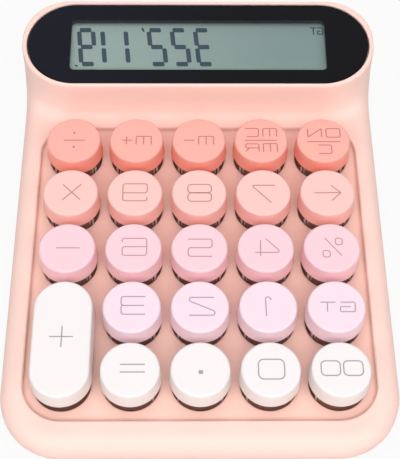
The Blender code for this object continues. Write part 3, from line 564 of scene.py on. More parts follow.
def case_plan(inset, nose=0.0):
    """The case drawn in by inset, with its front drawn back by nose, from its front right."""
    x, y = CASE_HALF - FRONT_RADIUS, CASE_FRONT + FRONT_RADIUS + nose
    share = np.clip((POD_CORNER_FROM - side_y) / (POD_CORNER_FROM - side_y[0]), 0.0, 1.0)
    side = np.column_stack([np.full(len(side_y), CASE_HALF - inset), side_y + nose * share])
    front = np.column_stack([np.linspace(-x, x, 16), np.full(16, CASE_FRONT + inset + nose)])
    return joined(quarter(x, y, FRONT_RADIUS - inset, -1), side, *pod_back(inset),
                  side[::-1] * (-1, 1), quarter(-x, y, FRONT_RADIUS - inset, 2), front)


def pod_front(inset):
    """The front half of the pod's plan, from left to right."""
    x = CASE_HALF - POD_RADIUS
    return (quarter(-x, POD_MIDDLE, POD_RADIUS - inset, 2),
            np.column_stack([front_x, np.full(len(front_x), POD_MIDDLE - POD_RADIUS + inset)]),
            quarter(x, POD_MIDDLE, POD_RADIUS - inset, 3))


def pod_plan(inset):
    """The whole pod drawn in by inset, from its right end round."""
    return joined(*pod_back(inset), *pod_front(inset))


def box_plan(half, front, back, front_radius, back_radius, inset=0.0, count=12):
    """A rectangle with round corners, drawn in by inset."""
    return joined(
        quarter(half - front_radius, front + front_radius, front_radius - inset, -1, count),
        quarter(half - back_radius, back - back_radius, back_radius - inset, 0, count),
        quarter(back_radius - half, back - back_radius, back_radius - inset, 1, count),
        quarter(front_radius - half, front + front_radius, front_radius - inset, 2, count),
        np.array([[front_radius - half, front + inset], [half - front_radius, front + inset]]))


def window_plan(inset, middle=0.0):
    """The window's bar with half-round ends, about the pod's middle."""
    radius = WINDOW_RADIUS
    return box_plan(WINDOW_HALF, -radius, radius, radius, radius, inset, 40) + (0.0, middle)


def inside_box(x, y, half, front, back, front_radius, back_radius):
    """How far a point lies inside such a rectangle; less than zero is outside."""
    radius = np.where(y < (front + back) / 2, front_radius, back_radius)
    over_x = np.abs(x) - (half - radius)
    over_y = np.maximum(front + radius - y, y - (back - radius))
    corner = np.hypot(np.maximum(over_x, 0.0), np.maximum(over_y, 0.0))
    return radius - corner - np.minimum(np.maximum(over_x, over_y), 0.0)


def from_pod(x, y):
    """How far a point lies outside the pod's plan; less than zero is inside."""
    return -inside_box(x, y, CASE_HALF, POD_MIDDLE - POD_RADIUS, CASE_BACK,
                       POD_RADIUS, BACK_RADIUS)


def inside_case(x, y):
    """How far a point lies inside the case's plan."""
    return inside_box(x, y, CASE_HALF, CASE_FRONT, CASE_BACK, FRONT_RADIUS, BACK_RADIUS)


def inside_window(x, y):
    """How far a point lies inside the window's plan."""
    radius = WINDOW_RADIUS
    return inside_box(x, y - POD_MIDDLE, WINDOW_HALF, -radius, radius, radius, radius)


print("case plan:", len(case_plan(0.0)), "points, pod plan:", len(pod_plan(0.0)))

# %% [markdown]
# ## The top of the case as one height
#
# A mould has to let the plastic go, so seen from above nothing on the outside hides behind
# anything else: the top can be written as one height over the plan. It is the flat rim
# with its rounded edge, lifted by the pod. The lift depends only on the distance from the
# pod's plan. Close to it the face is steep, lower down it sweeps out, and it lands on the
# rim in a small hollow, as a wave runs out on a beach.

# %% Height of the top
RIM_LEVEL = -8.0
RIM_FILLET = 5.2
POD_RISE = 14.7
POD_EDGE = 0.55
SWEEP_RADIUS = 27.0
SWEEP_HEIGHT = 10.0
FOOT_FILLET = 3.0
POD_DRAFT = math.tan(math.radians(1.2))


def pod_reach(height):
    """How far the pod's face stands out from its plan at a height above the rim."""
    edge = POD_RISE - POD_EDGE
    drop = np.maximum(SWEEP_HEIGHT - height, 0.0)
    sweep = SWEEP_RADIUS - np.sqrt(SWEEP_RADIUS ** 2 - drop ** 2)
    foot = np.clip(FOOT_FILLET - height, 0.0, FOOT_FILLET)
    face = sweep + FOOT_FILLET - np.sqrt(FOOT_FILLET ** 2 - foot ** 2) + (edge - height) * POD_DRAFT
    over = np.clip(height - edge, 0.0, POD_EDGE)
    return np.where(height > edge, np.sqrt(POD_EDGE ** 2 - over ** 2) - POD_EDGE, face)


lift_heights = POD_RISE * (1 - np.cos(np.linspace(0.0, math.pi, 600))) / 2
lift_reach = pod_reach(lift_heights)


def pod_lift(distance):
    """The height above the rim at a distance from the pod's plan: pod_reach read backwards."""
    return np.interp(distance, lift_reach[::-1], lift_heights[::-1], POD_RISE, 0.0)


def rim_height(inner):
    """The rim, rounded down at the case's edge by a quarter circle."""
    over = np.clip(RIM_FILLET - inner, 0.0, RIM_FILLET)
    return RIM_LEVEL - RIM_FILLET + np.sqrt(RIM_FILLET ** 2 - over ** 2)


def top_height(x, y):
    """Rim and pod in the shares of the lift, plus the lift with the pod's own tilt."""
    lift = pod_lift(from_pod(x, y))
    share = lift / POD_RISE
    tilt = (y - POD_MIDDLE) * math.tan(POD_TILT)
    return rim_height(inside_case(x, y)) * (1 - share) + RIM_LEVEL * share + lift + share * tilt


heights = top_height(np.zeros(3), np.array([85.0, 92.0, 120.0]))
print("heights of rim, pod's face and pod's top:", heights.round(2))

# %% [markdown]
# ## The case
#
# The real case is one moulding about two millimetres thick. From the height come its rim
# and pod, filled by triangles that follow the rounded edge and the pod's face. Bands of
# rings make the outer wall, the sunk tray with its rounded lip, the round well under each
# key, the seat of the window and the inner walls. At the front the outer wall curves back
# under itself, a quarter of an ellipse, and stands like the bow of a boat over its own
# shadow. All the bands share their end rings, so the whole case closes to one skin.

# %% Case skin
DECK_LEVEL = -9.9
DECK_UNDERSIDE = -11.7
TRAY = (48.9, -11.3, 86.7, 11.0, 9.5)    # half width, front, back and corner radii
TRAY_LIP = 0.8
TRAY_FOOT = 1.0
CASE_WALL = 2.2
CASE_BOTTOM = 3.3
WELL_RADIUS = 8.0
WELL_LIP = 0.35
WINDOW_LIP = 0.25
FOOT_STANDOFF = 1.0
FRONT_WALL_HEIGHT = 13.5
NOSE_DEPTH = 8.0
NOSE_LAND = 0.5
NOSE_HEIGHT = (FRONT_WALL_HEIGHT - RIM_FILLET) * math.cos(DECK_SLOPE) - NOSE_LAND
SEAT_DEPTH = 2.0
SEAT_WIDTH = 2.0
SEAT_THICKNESS = 1.6
LONG_KEY = "plus"
KEY_ROWS = (
    (None, "equals", "dot", "0", "00"),
    (None, "3", "2", "1", "gt"),
    ("minus", "6", "5", "4", "percent"),
    ("times", "9", "8", "7", "backspace"),
    ("divide", "m_plus", "m_minus", "mc_mr", "on_c"),
)
KEYS = {name: (row, (column - 2) * PITCH, row * PITCH)
        for row, names in enumerate(KEY_ROWS) for column, name in enumerate(names) if name}
KEYS[LONG_KEY] = (0, -2 * PITCH, PITCH / 2)


def round_plan(x, y, radius, count=64):
    """A circle about (x, y)."""
    angle = 2 * math.pi * (np.arange(count) + 0.5) / count
    return np.column_stack([x + radius * np.cos(angle), y + radius * np.sin(angle)])


def key_plan(name, radius, count=64):
    """A ring about a key: a circle, or a bar with half-round ends for the long key."""
    _, x, y = KEYS[name]
    ring = round_plan(x, y, radius, count)
    if name == LONG_KEY:
        ring[:, 1] += np.where(ring[:, 1] > y, PITCH / 2, -PITCH / 2)
    return ring


def from_key(name, x, y):
    """Distance of points from a key's middle, or from the long key's middle line."""
    _, key_x, key_y = KEYS[name]
    half = PITCH / 2 if name == LONG_KEY else 0.0
    return np.hypot(x - key_x, np.maximum(np.abs(y - key_y) - half, 0.0))


def clear_of_keys(x, y, radius):
    """True farther than a radius from every key's middle."""
    return np.all([from_key(name, x, y) > radius for name in KEYS], axis=0)


def level_ring(inset, height, nose_height=None):
    """The case's outline on a level plane over the desk, with the nose of a second height."""
    nose_height = height if nose_height is None else nose_height
    drop = np.clip(1.0 - (nose_height - FOOT_STANDOFF) / NOSE_HEIGHT, 0.0, 1.0)
    plan = case_plan(inset, NOSE_DEPTH * (1.0 - math.sqrt(1.0 - drop ** 2)))
    level = (height - DECK_HEIGHT - plan[:, 1] * math.sin(DECK_SLOPE)) / math.cos(DECK_SLOPE)
    return ring_at(plan, level)


def nose_heights(low, count=9):
    """Heights over the desk from low to the top of the nose, closer together near its foot."""
    start = math.asin(1.0 - (low - FOOT_STANDOFF) / NOSE_HEIGHT)
    return FOOT_STANDOFF + NOSE_HEIGHT * (1.0 - np.sin(np.linspace(start, 0.0, count)))


def round_steps(count):
    """Shares (1 - cos, sin) along a quarter turn."""
    angle = np.linspace(0.0, math.pi / 2, count)
    return list(zip(1 - np.cos(angle), np.sin(angle)))


def on_pod(plan, drop):
    """A plan at a depth under the pod's tilted top."""
    return ring_at(plan, POD_LEVEL + (plan[:, 1] - POD_MIDDLE) * math.tan(POD_TILT) - drop)


case = Patchwork()
outline = case_plan(0.0)
lines = [outline]
for share, _ in round_steps(9)[1:]:
    row = case_plan(RIM_FILLET * share)
    kept = from_pod(*row.T) > 0.3
    lines.append((row, kept & np.roll(kept, -1)))
profile = np.column_stack([lift_reach, lift_heights])
run = np.concatenate([[0.0], np.cumsum(np.hypot(*np.diff(profile, axis=0).T))])
for reach in np.interp(np.linspace(0.0, run[-1], 34), run, lift_reach)[:-1]:
    if reach < -0.02:
        lines.append(pod_plan(-reach))
    else:
        row = np.concatenate(pod_front(-reach))
        kept = np.flatnonzero((inside_case(*row.T) > 0.04)
                              & (inside_box(*row.T, *TRAY) < -TRAY_LIP - 0.05))
        lines.append((row[kept], np.diff(kept, append=-1) == 1))
tray_mouth = box_plan(*TRAY, -TRAY_LIP)
pocket_mouth = window_plan(-WINDOW_LIP, POD_MIDDLE)
lines += [tray_mouth, pocket_mouth]


def on_top(x, y):
    """True on the case's top, outside the tray and the window."""
    return ((inside_case(x, y) > 0) & (inside_box(x, y, *TRAY) < -TRAY_LIP)
            & (inside_window(x, y) < -WINDOW_LIP))


case.fill(lines, on_top, lambda plan: ring_at(plan, top_height(*plan.T)))

inner = case_plan(CASE_WALL)
wall_top = ring_at(outline, top_height(*outline.T))
walls = [ring_at(inner, DECK_UNDERSIDE)]
walls += [level_ring(CASE_WALL, height) for height in nose_heights(CASE_BOTTOM)[::-1]]
walls += [level_ring(0.3, CASE_BOTTOM)]
walls += [level_ring(0.0, height) for height in nose_heights(CASE_BOTTOM + 0.3)]
walls += [walls[-1] + (wall_top - walls[-1]) * share for share in np.linspace(0.0, 1.0, 7)[1:]]
case.band(walls)

tray_rings = [ring_at(box_plan(*TRAY, -TRAY_LIP * (1 - up)), RIM_LEVEL - TRAY_LIP * back)
              for back, up in round_steps(8)]
tray_rings[0] = ring_at(tray_mouth, top_height(*tray_mouth.T))
tray_rings += [ring_at(box_plan(*TRAY, TRAY_FOOT * back), DECK_LEVEL + TRAY_FOOT * (1 - up))
               for back, up in round_steps(8)]
# The values are shares of painted shade: none at the tray's lip, rising down its wall to full on
# the deck and in the wells.
case.band(tray_rings, value=np.linspace(0.0, 1.0, len(tray_rings)))
well_mouth = WELL_RADIUS + WELL_LIP
case.fill([box_plan(*TRAY, TRAY_FOOT)] + [key_plan(name, well_mouth) for name in KEYS],
          lambda x, y: (inside_box(x, y, *TRAY) > TRAY_FOOT) & clear_of_keys(x, y, well_mouth),
          DECK_LEVEL, value=1.0)
for name in KEYS:
    rings = [ring_at(key_plan(name, well_mouth - WELL_LIP * up), DECK_LEVEL - WELL_LIP * back)
             for back, up in round_steps(5)]
    case.band(rings + [ring_at(key_plan(name, WELL_RADIUS), DECK_UNDERSIDE)], value=1.0)

pocket = [on_pod(window_plan(WINDOW_LIP * (up - 1), POD_MIDDLE), WINDOW_LIP * back)
          for back, up in round_steps(5)]
seat, room = window_plan(SEAT_WIDTH, POD_MIDDLE), pod_plan(CASE_WALL)
seat_foot = SEAT_DEPTH + SEAT_THICKNESS
case.band(pocket + [on_pod(window_plan(0.0, POD_MIDDLE), SEAT_DEPTH), on_pod(seat, SEAT_DEPTH),
                    on_pod(seat, seat_foot)])
case.fill([seat, room],
          lambda x, y: (inside_window(x, y) < SEAT_WIDTH) & (from_pod(x, y) < -CASE_WALL),
          lambda plan: on_pod(plan, seat_foot), up=False)
case.band([on_pod(room, seat_foot), ring_at(room, DECK_UNDERSIDE)])
case.fill([inner, room] + [key_plan(name, WELL_RADIUS) for name in KEYS],
          lambda x, y: (inside_case(x, y) > CASE_WALL) & (from_pod(x, y) > -CASE_WALL - 0.004)
          & clear_of_keys(x, y, WELL_RADIUS), DECK_UNDERSIDE, up=False)
piece("case_shell", case, deck_place, "case", case_plastic, ["top_case"], sharp=50.0)
print("case:", pieces_made[-1])

# %% [markdown]
# ## Window and display
#
# The window is a flat plate with half-round ends, printed black except for a rectangle
# over the display. It is made as the black plate with that opening, and a thin clear pane
# set in it. Two millimetres below the pod's rim lies the display itself, grey-green.

# %% Window recipes
def window_black():
    """Black print under a clear plate, with a few specks of dust, and a painted reflection that
    turns it bluer and lighter to the left.
    """
    made = Recipe("window_black", IOR=1.49, Specular_IOR_Level=0.1)
    specks = made.node("TexVoronoi", {"feature": "F1"}, {"Vector": made.place(), "Scale": 190.0})
    dust = made.span(specks, 0.045, 0.0) * made.span(made.noise(7.0), 0.50, 0.62) * 0.35
    # Painted reflection: the black turns bluer and lighter to the left.
    side = made.span(made.along(0), -50 * MM, 30 * MM)
    black = made.mix(side, tint(22, 22, 33), tint(13, 12, 16))
    made.give("Base Color", made.mix(dust, black, tint(190, 185, 180)))
    made.give("Roughness", 0.07 + made.noise(20.0) * 0.05)
    return made.material


def lcd_green():
    """Grey-green display with painted light: a painted sheen lighter to the left, a painted
    highlight at the front edge, and painted shade under the window's edge at the top.
    """
    made = Recipe("lcd_green", IOR=1.45, Specular_IOR_Level=0.08)
    # Painted sheen: lighter to the left.
    across = made.span(made.along(0), -42 * MM, 42 * MM)
    base = made.mix(across, tint(150, 169, 164), tint(123, 145, 143))
    far = pod_place([[0.0, y, -2.0] for y in (-9.5, -5.0, 7.3, 9.6)])[:, 1]
    # Painted highlight: paler green towards the display's front edge.
    low = made.span(made.along(1), far[1], far[0]) * 0.25
    base = made.mix(low, base, tint(150, 180, 150))
    # Painted shade: darker under the window's edge at the top.
    top = made.span(made.along(1), far[2], far[3]) * 0.85
    base = made.mix(top, base, tint(62, 70, 74))
    grain = made.noise(0.35, 2.0)
    made.give("Base Color", made.mix(grain * 0.08, base, tint(190, 202, 190)))
    made.give("Roughness", 0.32 + grain * 0.1)
    return made.material


def clear_pane():
    """The clear part of the window: almost all light goes through."""
    made = Recipe("clear_pane", Alpha=0.04, Roughness=0.04, IOR=1.49, Specular_IOR_Level=0.1)
    made.give("Base Color", made.mix(made.noise(6.0), tint(150, 156, 154), tint(166, 170, 168)))
    return made.material


def lcd_ink():
    """The dark blue-grey of a segment that is on."""
    made = Recipe("lcd_ink", Roughness=0.4, Specular_IOR_Level=0.08)
    made.give("Base Color", made.mix(made.noise(1.2), tint(44, 61, 76), tint(52, 70, 84)))
    return made.material


# %% Window, pane and display
APERTURE = (40.2, -10.25, 8.95, 1.5, 1.5)    # half width, front, back and corner radii
PLATE_TOP = -0.2
PLATE_THICKNESS = 1.5
PLATE_GAP = 0.3
PLATE_EDGE = 0.2
PANE_THICKNESS = 0.6
LCD_TOP = -2.0
LCD_PLAN = (42.0, -12.5, 12.5, 0.6, 0.6)
LCD_THICKNESS = 2.6
LCD_EDGE = 0.2
PANE_GAP = 0.02

plate = Patchwork()
rim = [ring_at(window_plan(PLATE_GAP + PLATE_EDGE * back), PLATE_TOP - PLATE_EDGE * (1 - up))
       for back, up in round_steps(4)]
hole = box_plan(*APERTURE)
foot = PLATE_TOP - PLATE_THICKNESS
plate.band([ring_at(hole, PLATE_TOP), ring_at(hole, foot)])
plate.band([ring_at(window_plan(PLATE_GAP), foot)] + rim)
for height, edge, up in ((PLATE_TOP, rim[-1][:, :2], True), (foot, window_plan(PLATE_GAP), False)):
    plate.fill([edge, hole], lambda x, y: inside_box(x, y, *APERTURE) < 0, height, up)
piece("window_plate", plate, pod_place, "case", window_black(), ["display_window"])

pane = Patchwork()
pane_plan = box_plan(*APERTURE, PANE_GAP)
pane.solid([ring_at(pane_plan, z) for z in (PLATE_TOP - PANE_THICKNESS, PLATE_TOP)])
piece("window_pane", pane, pod_place, "case", clear_pane())

lcd = Patchwork()
lcd.solid([ring_at(box_plan(*LCD_PLAN, inset), z) for inset, z in (
    (0.0, LCD_TOP - LCD_THICKNESS), (0.0, LCD_TOP - LCD_EDGE), (LCD_EDGE, LCD_TOP))])
piece("lcd_glass", lcd, pod_place, "case", lcd_green(), ["lcd_panel"])

# %% [markdown]
# The segments are thin bars with rounded ends, seven to a digit. A digit names the bars it
# lights, and a slant moves each point sideways by a share of its height. Only lit bars are
# made, and they read backwards here. The small signs at the top right say that a grand total
# is held.

# %% Segments
DIGIT_PITCH = 7.4
DIGIT_LEFT = -0.4           # left bars of the digit nearest the middle
DIGIT_WIDTH = 4.4
DIGIT_MIDDLE = -0.23
DIGIT_HALF = 6.62
DIGIT_SLANT = -0.0965
BAR_ACROSS = 1.72
BAR_DOWN = 1.45
BAR_FROM_MIDDLE = 0.55      # upright bars: clear of the digit's middle line
BAR_FROM_END = 0.6          # and of its top and bottom
BAR_LEFT_GAP = 0.22         # level bars: clear of the digit's sides
BAR_RIGHT_GAP = 0.5
BAR_ROUND = 0.52
INK_HEIGHT = 0.02
INK_DEPTH = 0.05
LIT = ("top left_up middle left_down bottom",
       "top left_up middle right_down bottom",
       "top left_up middle right_down bottom",
       "left_up left_down",
       "left_up left_down",
       "top left_up right_up middle left_down bottom")


def bent(corners, radius, closed=False):
    """The path through corners, each given way to an arc that touches both sides."""
    corners = np.array(corners, float)
    count = len(corners)
    path = []
    for index, corner in enumerate(corners):
        if not closed and index in (0, count - 1):
            path.append(corner[None])
            continue
        back, ahead = corners[index - 1] - corner, corners[(index + 1) % count] - corner
        back_length, ahead_length = np.hypot(*back), np.hypot(*ahead)
        back, ahead = back / back_length, ahead / ahead_length
        half = math.acos(np.clip(back @ ahead, -1.0, 1.0)) / 2
        cut = min(radius / math.tan(half), 0.48 * min(back_length, ahead_length))
        centre = corner + (back + ahead) / np.hypot(*(back + ahead)) * cut / math.cos(half)
        spokes = np.array([corner + back * cut - centre, corner + ahead * cut - centre])
        sweep = math.pi - 2 * half
        share = np.linspace(0.0, 1.0, 9)[:, None]
        arc = (np.sin((1 - share) * sweep) * spokes[0] + np.sin(share * sweep) * spokes[1])
        path.append(centre + arc / math.sin(sweep))
    return np.concatenate(path)


def digit_bars(left):
    """The seven bars of a digit, each as the box it fills: low x, low y, high x, high y."""
    right, across, down = left + DIGIT_WIDTH, BAR_ACROSS / 2, BAR_DOWN / 2
    near, far = BAR_FROM_MIDDLE, DIGIT_HALF - BAR_FROM_END
    boxes = {name: (left + BAR_LEFT_GAP, y - across, right - BAR_RIGHT_GAP, y + across)
             for name, y in (("top", DIGIT_HALF), ("middle", 0.0), ("bottom", -DIGIT_HALF))}
    for side, x in (("left", left), ("right", right)):
        boxes[side + "_up"] = (x - down, near, x + down, far)
        boxes[side + "_down"] = (x - down, -far, x + down, -near)
    return boxes


def slanted(plan):
    """A plan on the digits' middle line, leaning like them."""
    plan = plan + (0.0, DIGIT_MIDDLE)
    return plan + np.outer(plan[:, 1] * DIGIT_SLANT, (1.0, 0.0))


def prism(patches, plan, low_z, high_z):
    """A flat solid over a plan."""
    patches.solid([ring_at(plan, low_z), ring_at(plan, high_z)])


def print_on_lcd(patches, plan):
    """A flat mark on the display."""
    prism(patches, plan, LCD_TOP - INK_DEPTH, LCD_TOP + INK_HEIGHT)


def digit(patches, place, names):
    """The named bars of the digit in a place, counted to the left from the middle."""
    boxes = digit_bars(DIGIT_LEFT - place * DIGIT_PITCH)
    for name in names:
        x, y, right, top = boxes[name]
        path = bent([(x, y), (right, y), (right, top), (x, top)], BAR_ROUND, True)
        print_on_lcd(patches, slanted(path))


def stroke(start, end, width):
    """Outline of a straight stroke."""
    start, end = np.array(start, float), np.array(end, float)
    ahead = (end - start) / np.hypot(*(end - start))
    side = np.array([-ahead[1], ahead[0]]) * width / 2
    return bent([start - side, end - side, end + side, start + side], width * 0.3, True)


ink = Patchwork()
for place, names in enumerate(LIT):
    digit(ink, place, names.split())
strokes = [((-17.3, 5.75), (-17.95, 7.35), 0.62), ((-38.4, -7.75), (-38.1, -7.25), 1.0)]
strokes += [(start, end, 0.42) for start, end in (
    ((35.75, 7.4), (37.85, 7.4)), ((36.85, 7.5), (36.95, 4.7)), ((38.1, 7.4), (39.9, 7.4)),
    ((39.7, 7.5), (39.75, 4.75)), ((39.9, 4.85), (38.1, 4.85)), ((38.3, 4.75), (38.25, 6.2)),
    ((38.15, 6.1), (39.15, 6.1)))]
for start, end, width in strokes:
    print_on_lcd(ink, stroke(start, end, width))
piece("lcd_segments", ink, pod_place, "case", lcd_ink(), outward=True)
print("display:", pieces_made[-4:])

# %% [markdown]
# ## Key caps
#
# A cap is a shape of revolution: a flat top with a rounded edge, a skirt that widens
# downwards, a hollow, and a tube inside that grips the switch. The long cap carries the
# same section round a bar with half-round ends, and has three posts inside, one for the
# switch and two that run in guides. Section points are stored with a value that says how
# far down the skirt they lie, which sets how much painted shade the colour gets.

# %% Caps
CROWN = 8.15
SKIRT = 8.55
CAP_HEIGHT = 6.1
CAP_EDGE = 0.75
CAP_WALL = 1.2
CAP_ROOF = 1.5
SOCKET_OUT = 2.8
SOCKET_IN = 2.2
SOCKET_TIP = -5.5
GUIDE_REACH = 11.94
GUIDE_RADIUS = 1.5
GUIDE_TIP = -15.0
GUIDE_BORE = 0.5
CAP_DRAFT = 0.5             # how much narrower the hollow is at its roof
CAP_FOOT = 0.2              # rounding of the skirt's foot
CAP_CROWN_FALL = 0.02
CAP_POINTS = 96
POST_START = 0.2            # how far a post runs into the roof


def cap_section():
    """Radius, height and share of painted shade of the cap's outside, from its flat top to its
    foot.
    """
    lean = (SKIRT - CROWN) / (CAP_HEIGHT - CAP_EDGE)
    # The third number of each row is its share of painted shade: none on the flat top, full at the
    # skirt's foot.
    rows = [(CROWN - (CAP_EDGE + CAP_CROWN_FALL) * (1 - up), -CAP_EDGE * back, 0.25 * back)
            for back, up in round_steps(8)]
    for share in np.linspace(0.05, 1.0, 7)[:-1]:
        drop = share * (CAP_HEIGHT - CAP_EDGE - CAP_FOOT)
        rows.append((CROWN + lean * drop, -CAP_EDGE - drop, min(1.0, 0.35 + 1.4 * share)))
    return rows + [(SKIRT - CAP_FOOT * back, -CAP_HEIGHT + CAP_FOOT * (1 - up), 1.0)
                   for back, up in round_steps(4)]


def make_cap(name):
    """The cap of one key, with its hollow."""
    row, x, y = KEYS[name]
    cap = Patchwork()
    rows = cap_section()
    rows += [(SKIRT - CAP_WALL, -CAP_HEIGHT, 1.0),
             (SKIRT - CAP_WALL - CAP_DRAFT, -CAP_ROOF, 1.0)]
    rings = [ring_at(key_plan(name, radius, CAP_POINTS), z) for radius, z, _ in rows]
    for (_, _, painted_shade), first, second in zip(rows[1:], rings, rings[1:]):
        cap.band([second, first], value=painted_shade)
    cap.lid(rings[0], value=0.0)
    if name == LONG_KEY:
        cap.lid(rings[-1], up=False, value=1.0)
    else:
        tube = [(SOCKET_OUT, -CAP_ROOF), (SOCKET_OUT, SOCKET_TIP), (SOCKET_IN, SOCKET_TIP),
                (SOCKET_IN, -CAP_ROOF)]
        tube_rings = [ring_at(key_plan(name, radius, CAP_POINTS), z) for radius, z in tube]
        cap.band(([rings[-1]] + tube_rings)[::-1], value=1.0)
        cap.lid(tube_rings[-1], up=False, value=1.0)
    piece("cap_" + name, cap, deck_place, "key_" + name, cap_plastics[row],
          ["keycap_" + name], sharp=50.0)


for name in KEYS:
    make_cap(name)
posts = Patchwork()
_, x, y = KEYS[LONG_KEY]
for reach, out, tip, bore in ((0.0, SOCKET_OUT, SOCKET_TIP, SOCKET_IN),
                              (-GUIDE_REACH, GUIDE_RADIUS, GUIDE_TIP, GUIDE_BORE),
                              (GUIDE_REACH, GUIDE_RADIUS, GUIDE_TIP, GUIDE_BORE)):
    roof = POST_START - CAP_ROOF
    tube = [(bore, roof), (bore, tip), (out, tip), (out, roof)]
    rings = [ring_at(round_plan(x, y + reach, radius, 32), z) for radius, z in tube]
    posts.band(rings + rings[:1])
piece("cap_posts_plus", posts, deck_place, "key_plus", cap_plastics[0])
print("caps:", pieces_made[-3:])

# %% [markdown]
# ## Signs on the keys
#
# The signs are thin grey-mauve lines printed on the caps, with rounded bends, in a plain
# geometric hand. Each is a set of strokes. A stroke is a path with its corners rounded,
# and a flat strip is carried along it, so thin that it lies on the cap like ink.

# %% Strokes
STROKE = 0.35
INK_RAISE = 0.012
INK_SINK = 0.04


def strip(patches, path, closed=False, width=STROKE):
    """A flat strip along a path: four corners of its section, carried along."""
    if closed:
        before, after = np.roll(path, 1, 0), np.roll(path, -1, 0)
    else:
        before = np.vstack([path[:1], path[:-1]])
        after = np.vstack([path[1:], path[-1:]])
    ahead = after - before
    ahead /= np.hypot(*ahead.T)[:, None]
    side = np.column_stack([-ahead[:, 1], ahead[:, 0]]) * width / 2
    corners = [ring_at(path + side * way, z) for way, z in (
        (1, -INK_SINK), (-1, -INK_SINK), (-1, INK_RAISE), (1, INK_RAISE))]
    rings = np.stack(corners, 1)
    if closed:
        rings = np.concatenate([rings, rings[:1]])
    patches.band(rings)
    if not closed:
        patches.lid(rings[0], up=False)
        patches.lid(rings[-1])


def line(x, y, end_x, end_y):
    """A straight stroke, as all strokes: its corners, bend radius, and whether it closes."""
    return [(x, y), (end_x, end_y)], 0, False


def curve(radius, *corners):
    """A stroke with rounded bends."""
    return corners, radius, False


def loop(left, low_y, right_x, high_y, radius):
    """A closed stroke round an upright rectangle."""
    return [(left, low_y), (right_x, low_y), (right_x, high_y), (left, high_y)], radius, True


def letter_m(left, middle, right_x, foot_y, top_y):
    """A square m: an arch and its middle leg."""
    return [curve(0.35, (left, foot_y), (left, top_y), (right_x, top_y), (right_x, foot_y)),
            line(middle, top_y, middle, foot_y)]


SIGNS = {
    "0": [loop(-3.4, -3.0, 3.65, 2.8, 1.5)],
    "00": [loop(-5.5, -2.0, -0.3, 2.3, 1.2), loop(0.6, -2.0, 5.85, 2.3, 1.2)],
    "1": [curve(0.55, (0.95, 1.95), (0.1, 3.05), (-0.72, 2.6), (-0.6, -3.15))],
    "2": [curve(0.75, (3.95, 2.75), (-2.95, 2.75), (-2.95, 1.6), (4.1, -1.55), (4.1, -2.85),
        (-3.0, -2.85))],
    "3": [curve(0.8, (3.8, 3.05), (-2.95, 3.05), (-2.95, 0.25), (3.5, 0.25)), curve(0.8,
        (-1.8, 0.25), (-2.9, 0.25), (-2.9, -2.5), (3.85, -2.5))],
    "4": [line(-1.45, 2.45, -1.6, -3.0), curve(0.55, (0.1, 2.85), (4.5, -1.75), (-3.15, -1.75))],
    "5": [curve(0.8, (-3.3, 2.72), (3.6, 2.72), (3.6, -0.15), (-3.25, -0.15), (-3.25, -3.02),
        (3.55, -3.02))],
    "6": [curve(0.75, (-3.2, 1.7), (-3.2, 3.0), (3.85, 3.0), (3.85, -2.68), (-3.15, -2.68),
        (-3.15, 0.2), (3.85, 0.2))],
    "7": [curve(0.35, (3.55, 2.36), (-3.5, 2.36), (2.2, -3.75))],
    "8": [loop(-3.35, -0.32, 3.65, 2.66, 1.15), loop(-3.35, -3.32, 3.65, -0.34, 1.15)],
    "9": [curve(0.75, (3.6, -1.8), (3.6, -3.15), (-3.5, -3.15), (-3.55, 2.88), (3.7, 2.88),
        (3.65, -0.33), (-3.5, -0.33))],
    "dot": [line(-0.5, -0.93, 0.68, -0.93)],
    "equals": [line(-2.65, 1.38, 4.05, 1.38), line(-2.65, -0.87, 4.05, -0.87)],
    "plus": [line(-3.25, 0.22, 3.27, 0.22), line(0.12, 3.45, 0.12, -2.95)],
    "minus": [line(-3.04, -0.17, 3.69, -0.17)],
    "times": [line(-2.34, 2.64, 2.97, -2.7), line(3.09, 2.76, -2.27, -2.85)],
    "divide": [line(-3.07, -0.15, 3.42, -0.15)],
    "percent": [line(-1.89, 3.07, 2.7, -2.79), loop(1.1, 0.82, 3.11, 3.0, 0.75), loop(-2.69,
        -3.28, -0.63, -1.12, 0.75)],
    "gt": [line(-4.42, 1.18, -0.23, 1.18), line(-2.5, 1.18, -2.62, -1.8), curve(0.45, (1.2, 1.18),
        (5.25, 1.18), (5.15, -1.8), (0.98, -1.8), (0.98, -0.23), (3.95, -0.23))],
    "m_plus": [line(-4.26, -0.15, -1.16, -0.15), line(-3.02, 1.2, -3.02, -1.65), *letter_m(-0.03,
        2.25, 4.53, -1.75, 1.3)],
    "m_minus": [line(-4.45, -0.14, -1.3, -0.14), *letter_m(-0.03, 2.25, 4.53, -1.75, 1.3)],
    "mc_mr": [curve(0.55, (-4.85, 4.3), (-0.75, 4.3), (-0.75, 1.25), (-4.4, 1.25)),
        *letter_m(0.62, 2.72, 4.8, 1.25, 4.25), line(-5.0, -0.19, 4.85, -0.19), curve(0.5,
        (-0.72, -4.4), (-0.72, -1.52), (-4.75, -1.52), (-4.75, -3.05), (-0.72, -3.05)), line(-3.7,
        -3.05, -4.8, -4.35), *letter_m(0.62, 2.72, 4.8, -4.45, -1.45)],
    "on_c": [curve(0.12, (-4.65, 4.25), (-4.65, 1.02), (-0.45, 4.25), (-0.45, 1.02)), loop(1.0,
        1.02, 5.25, 4.25, 0.55), line(-5.0, -0.69, 5.15, -0.69), curve(0.55, (-1.75, -1.95),
        (2.35, -1.95), (2.3, -5.1), (-1.65, -5.1))],
    "backspace": [line(-3.95, -0.35, 3.9, -0.25), curve(0.12, (1.14, 2.33), (3.95, -0.25),
        (1.12, -3.05))],
}
DOTS = {"divide": ((0.05, 2.6, 0.38), (0.1, -2.65, 0.38))}
DOT_STROKE = 1.1
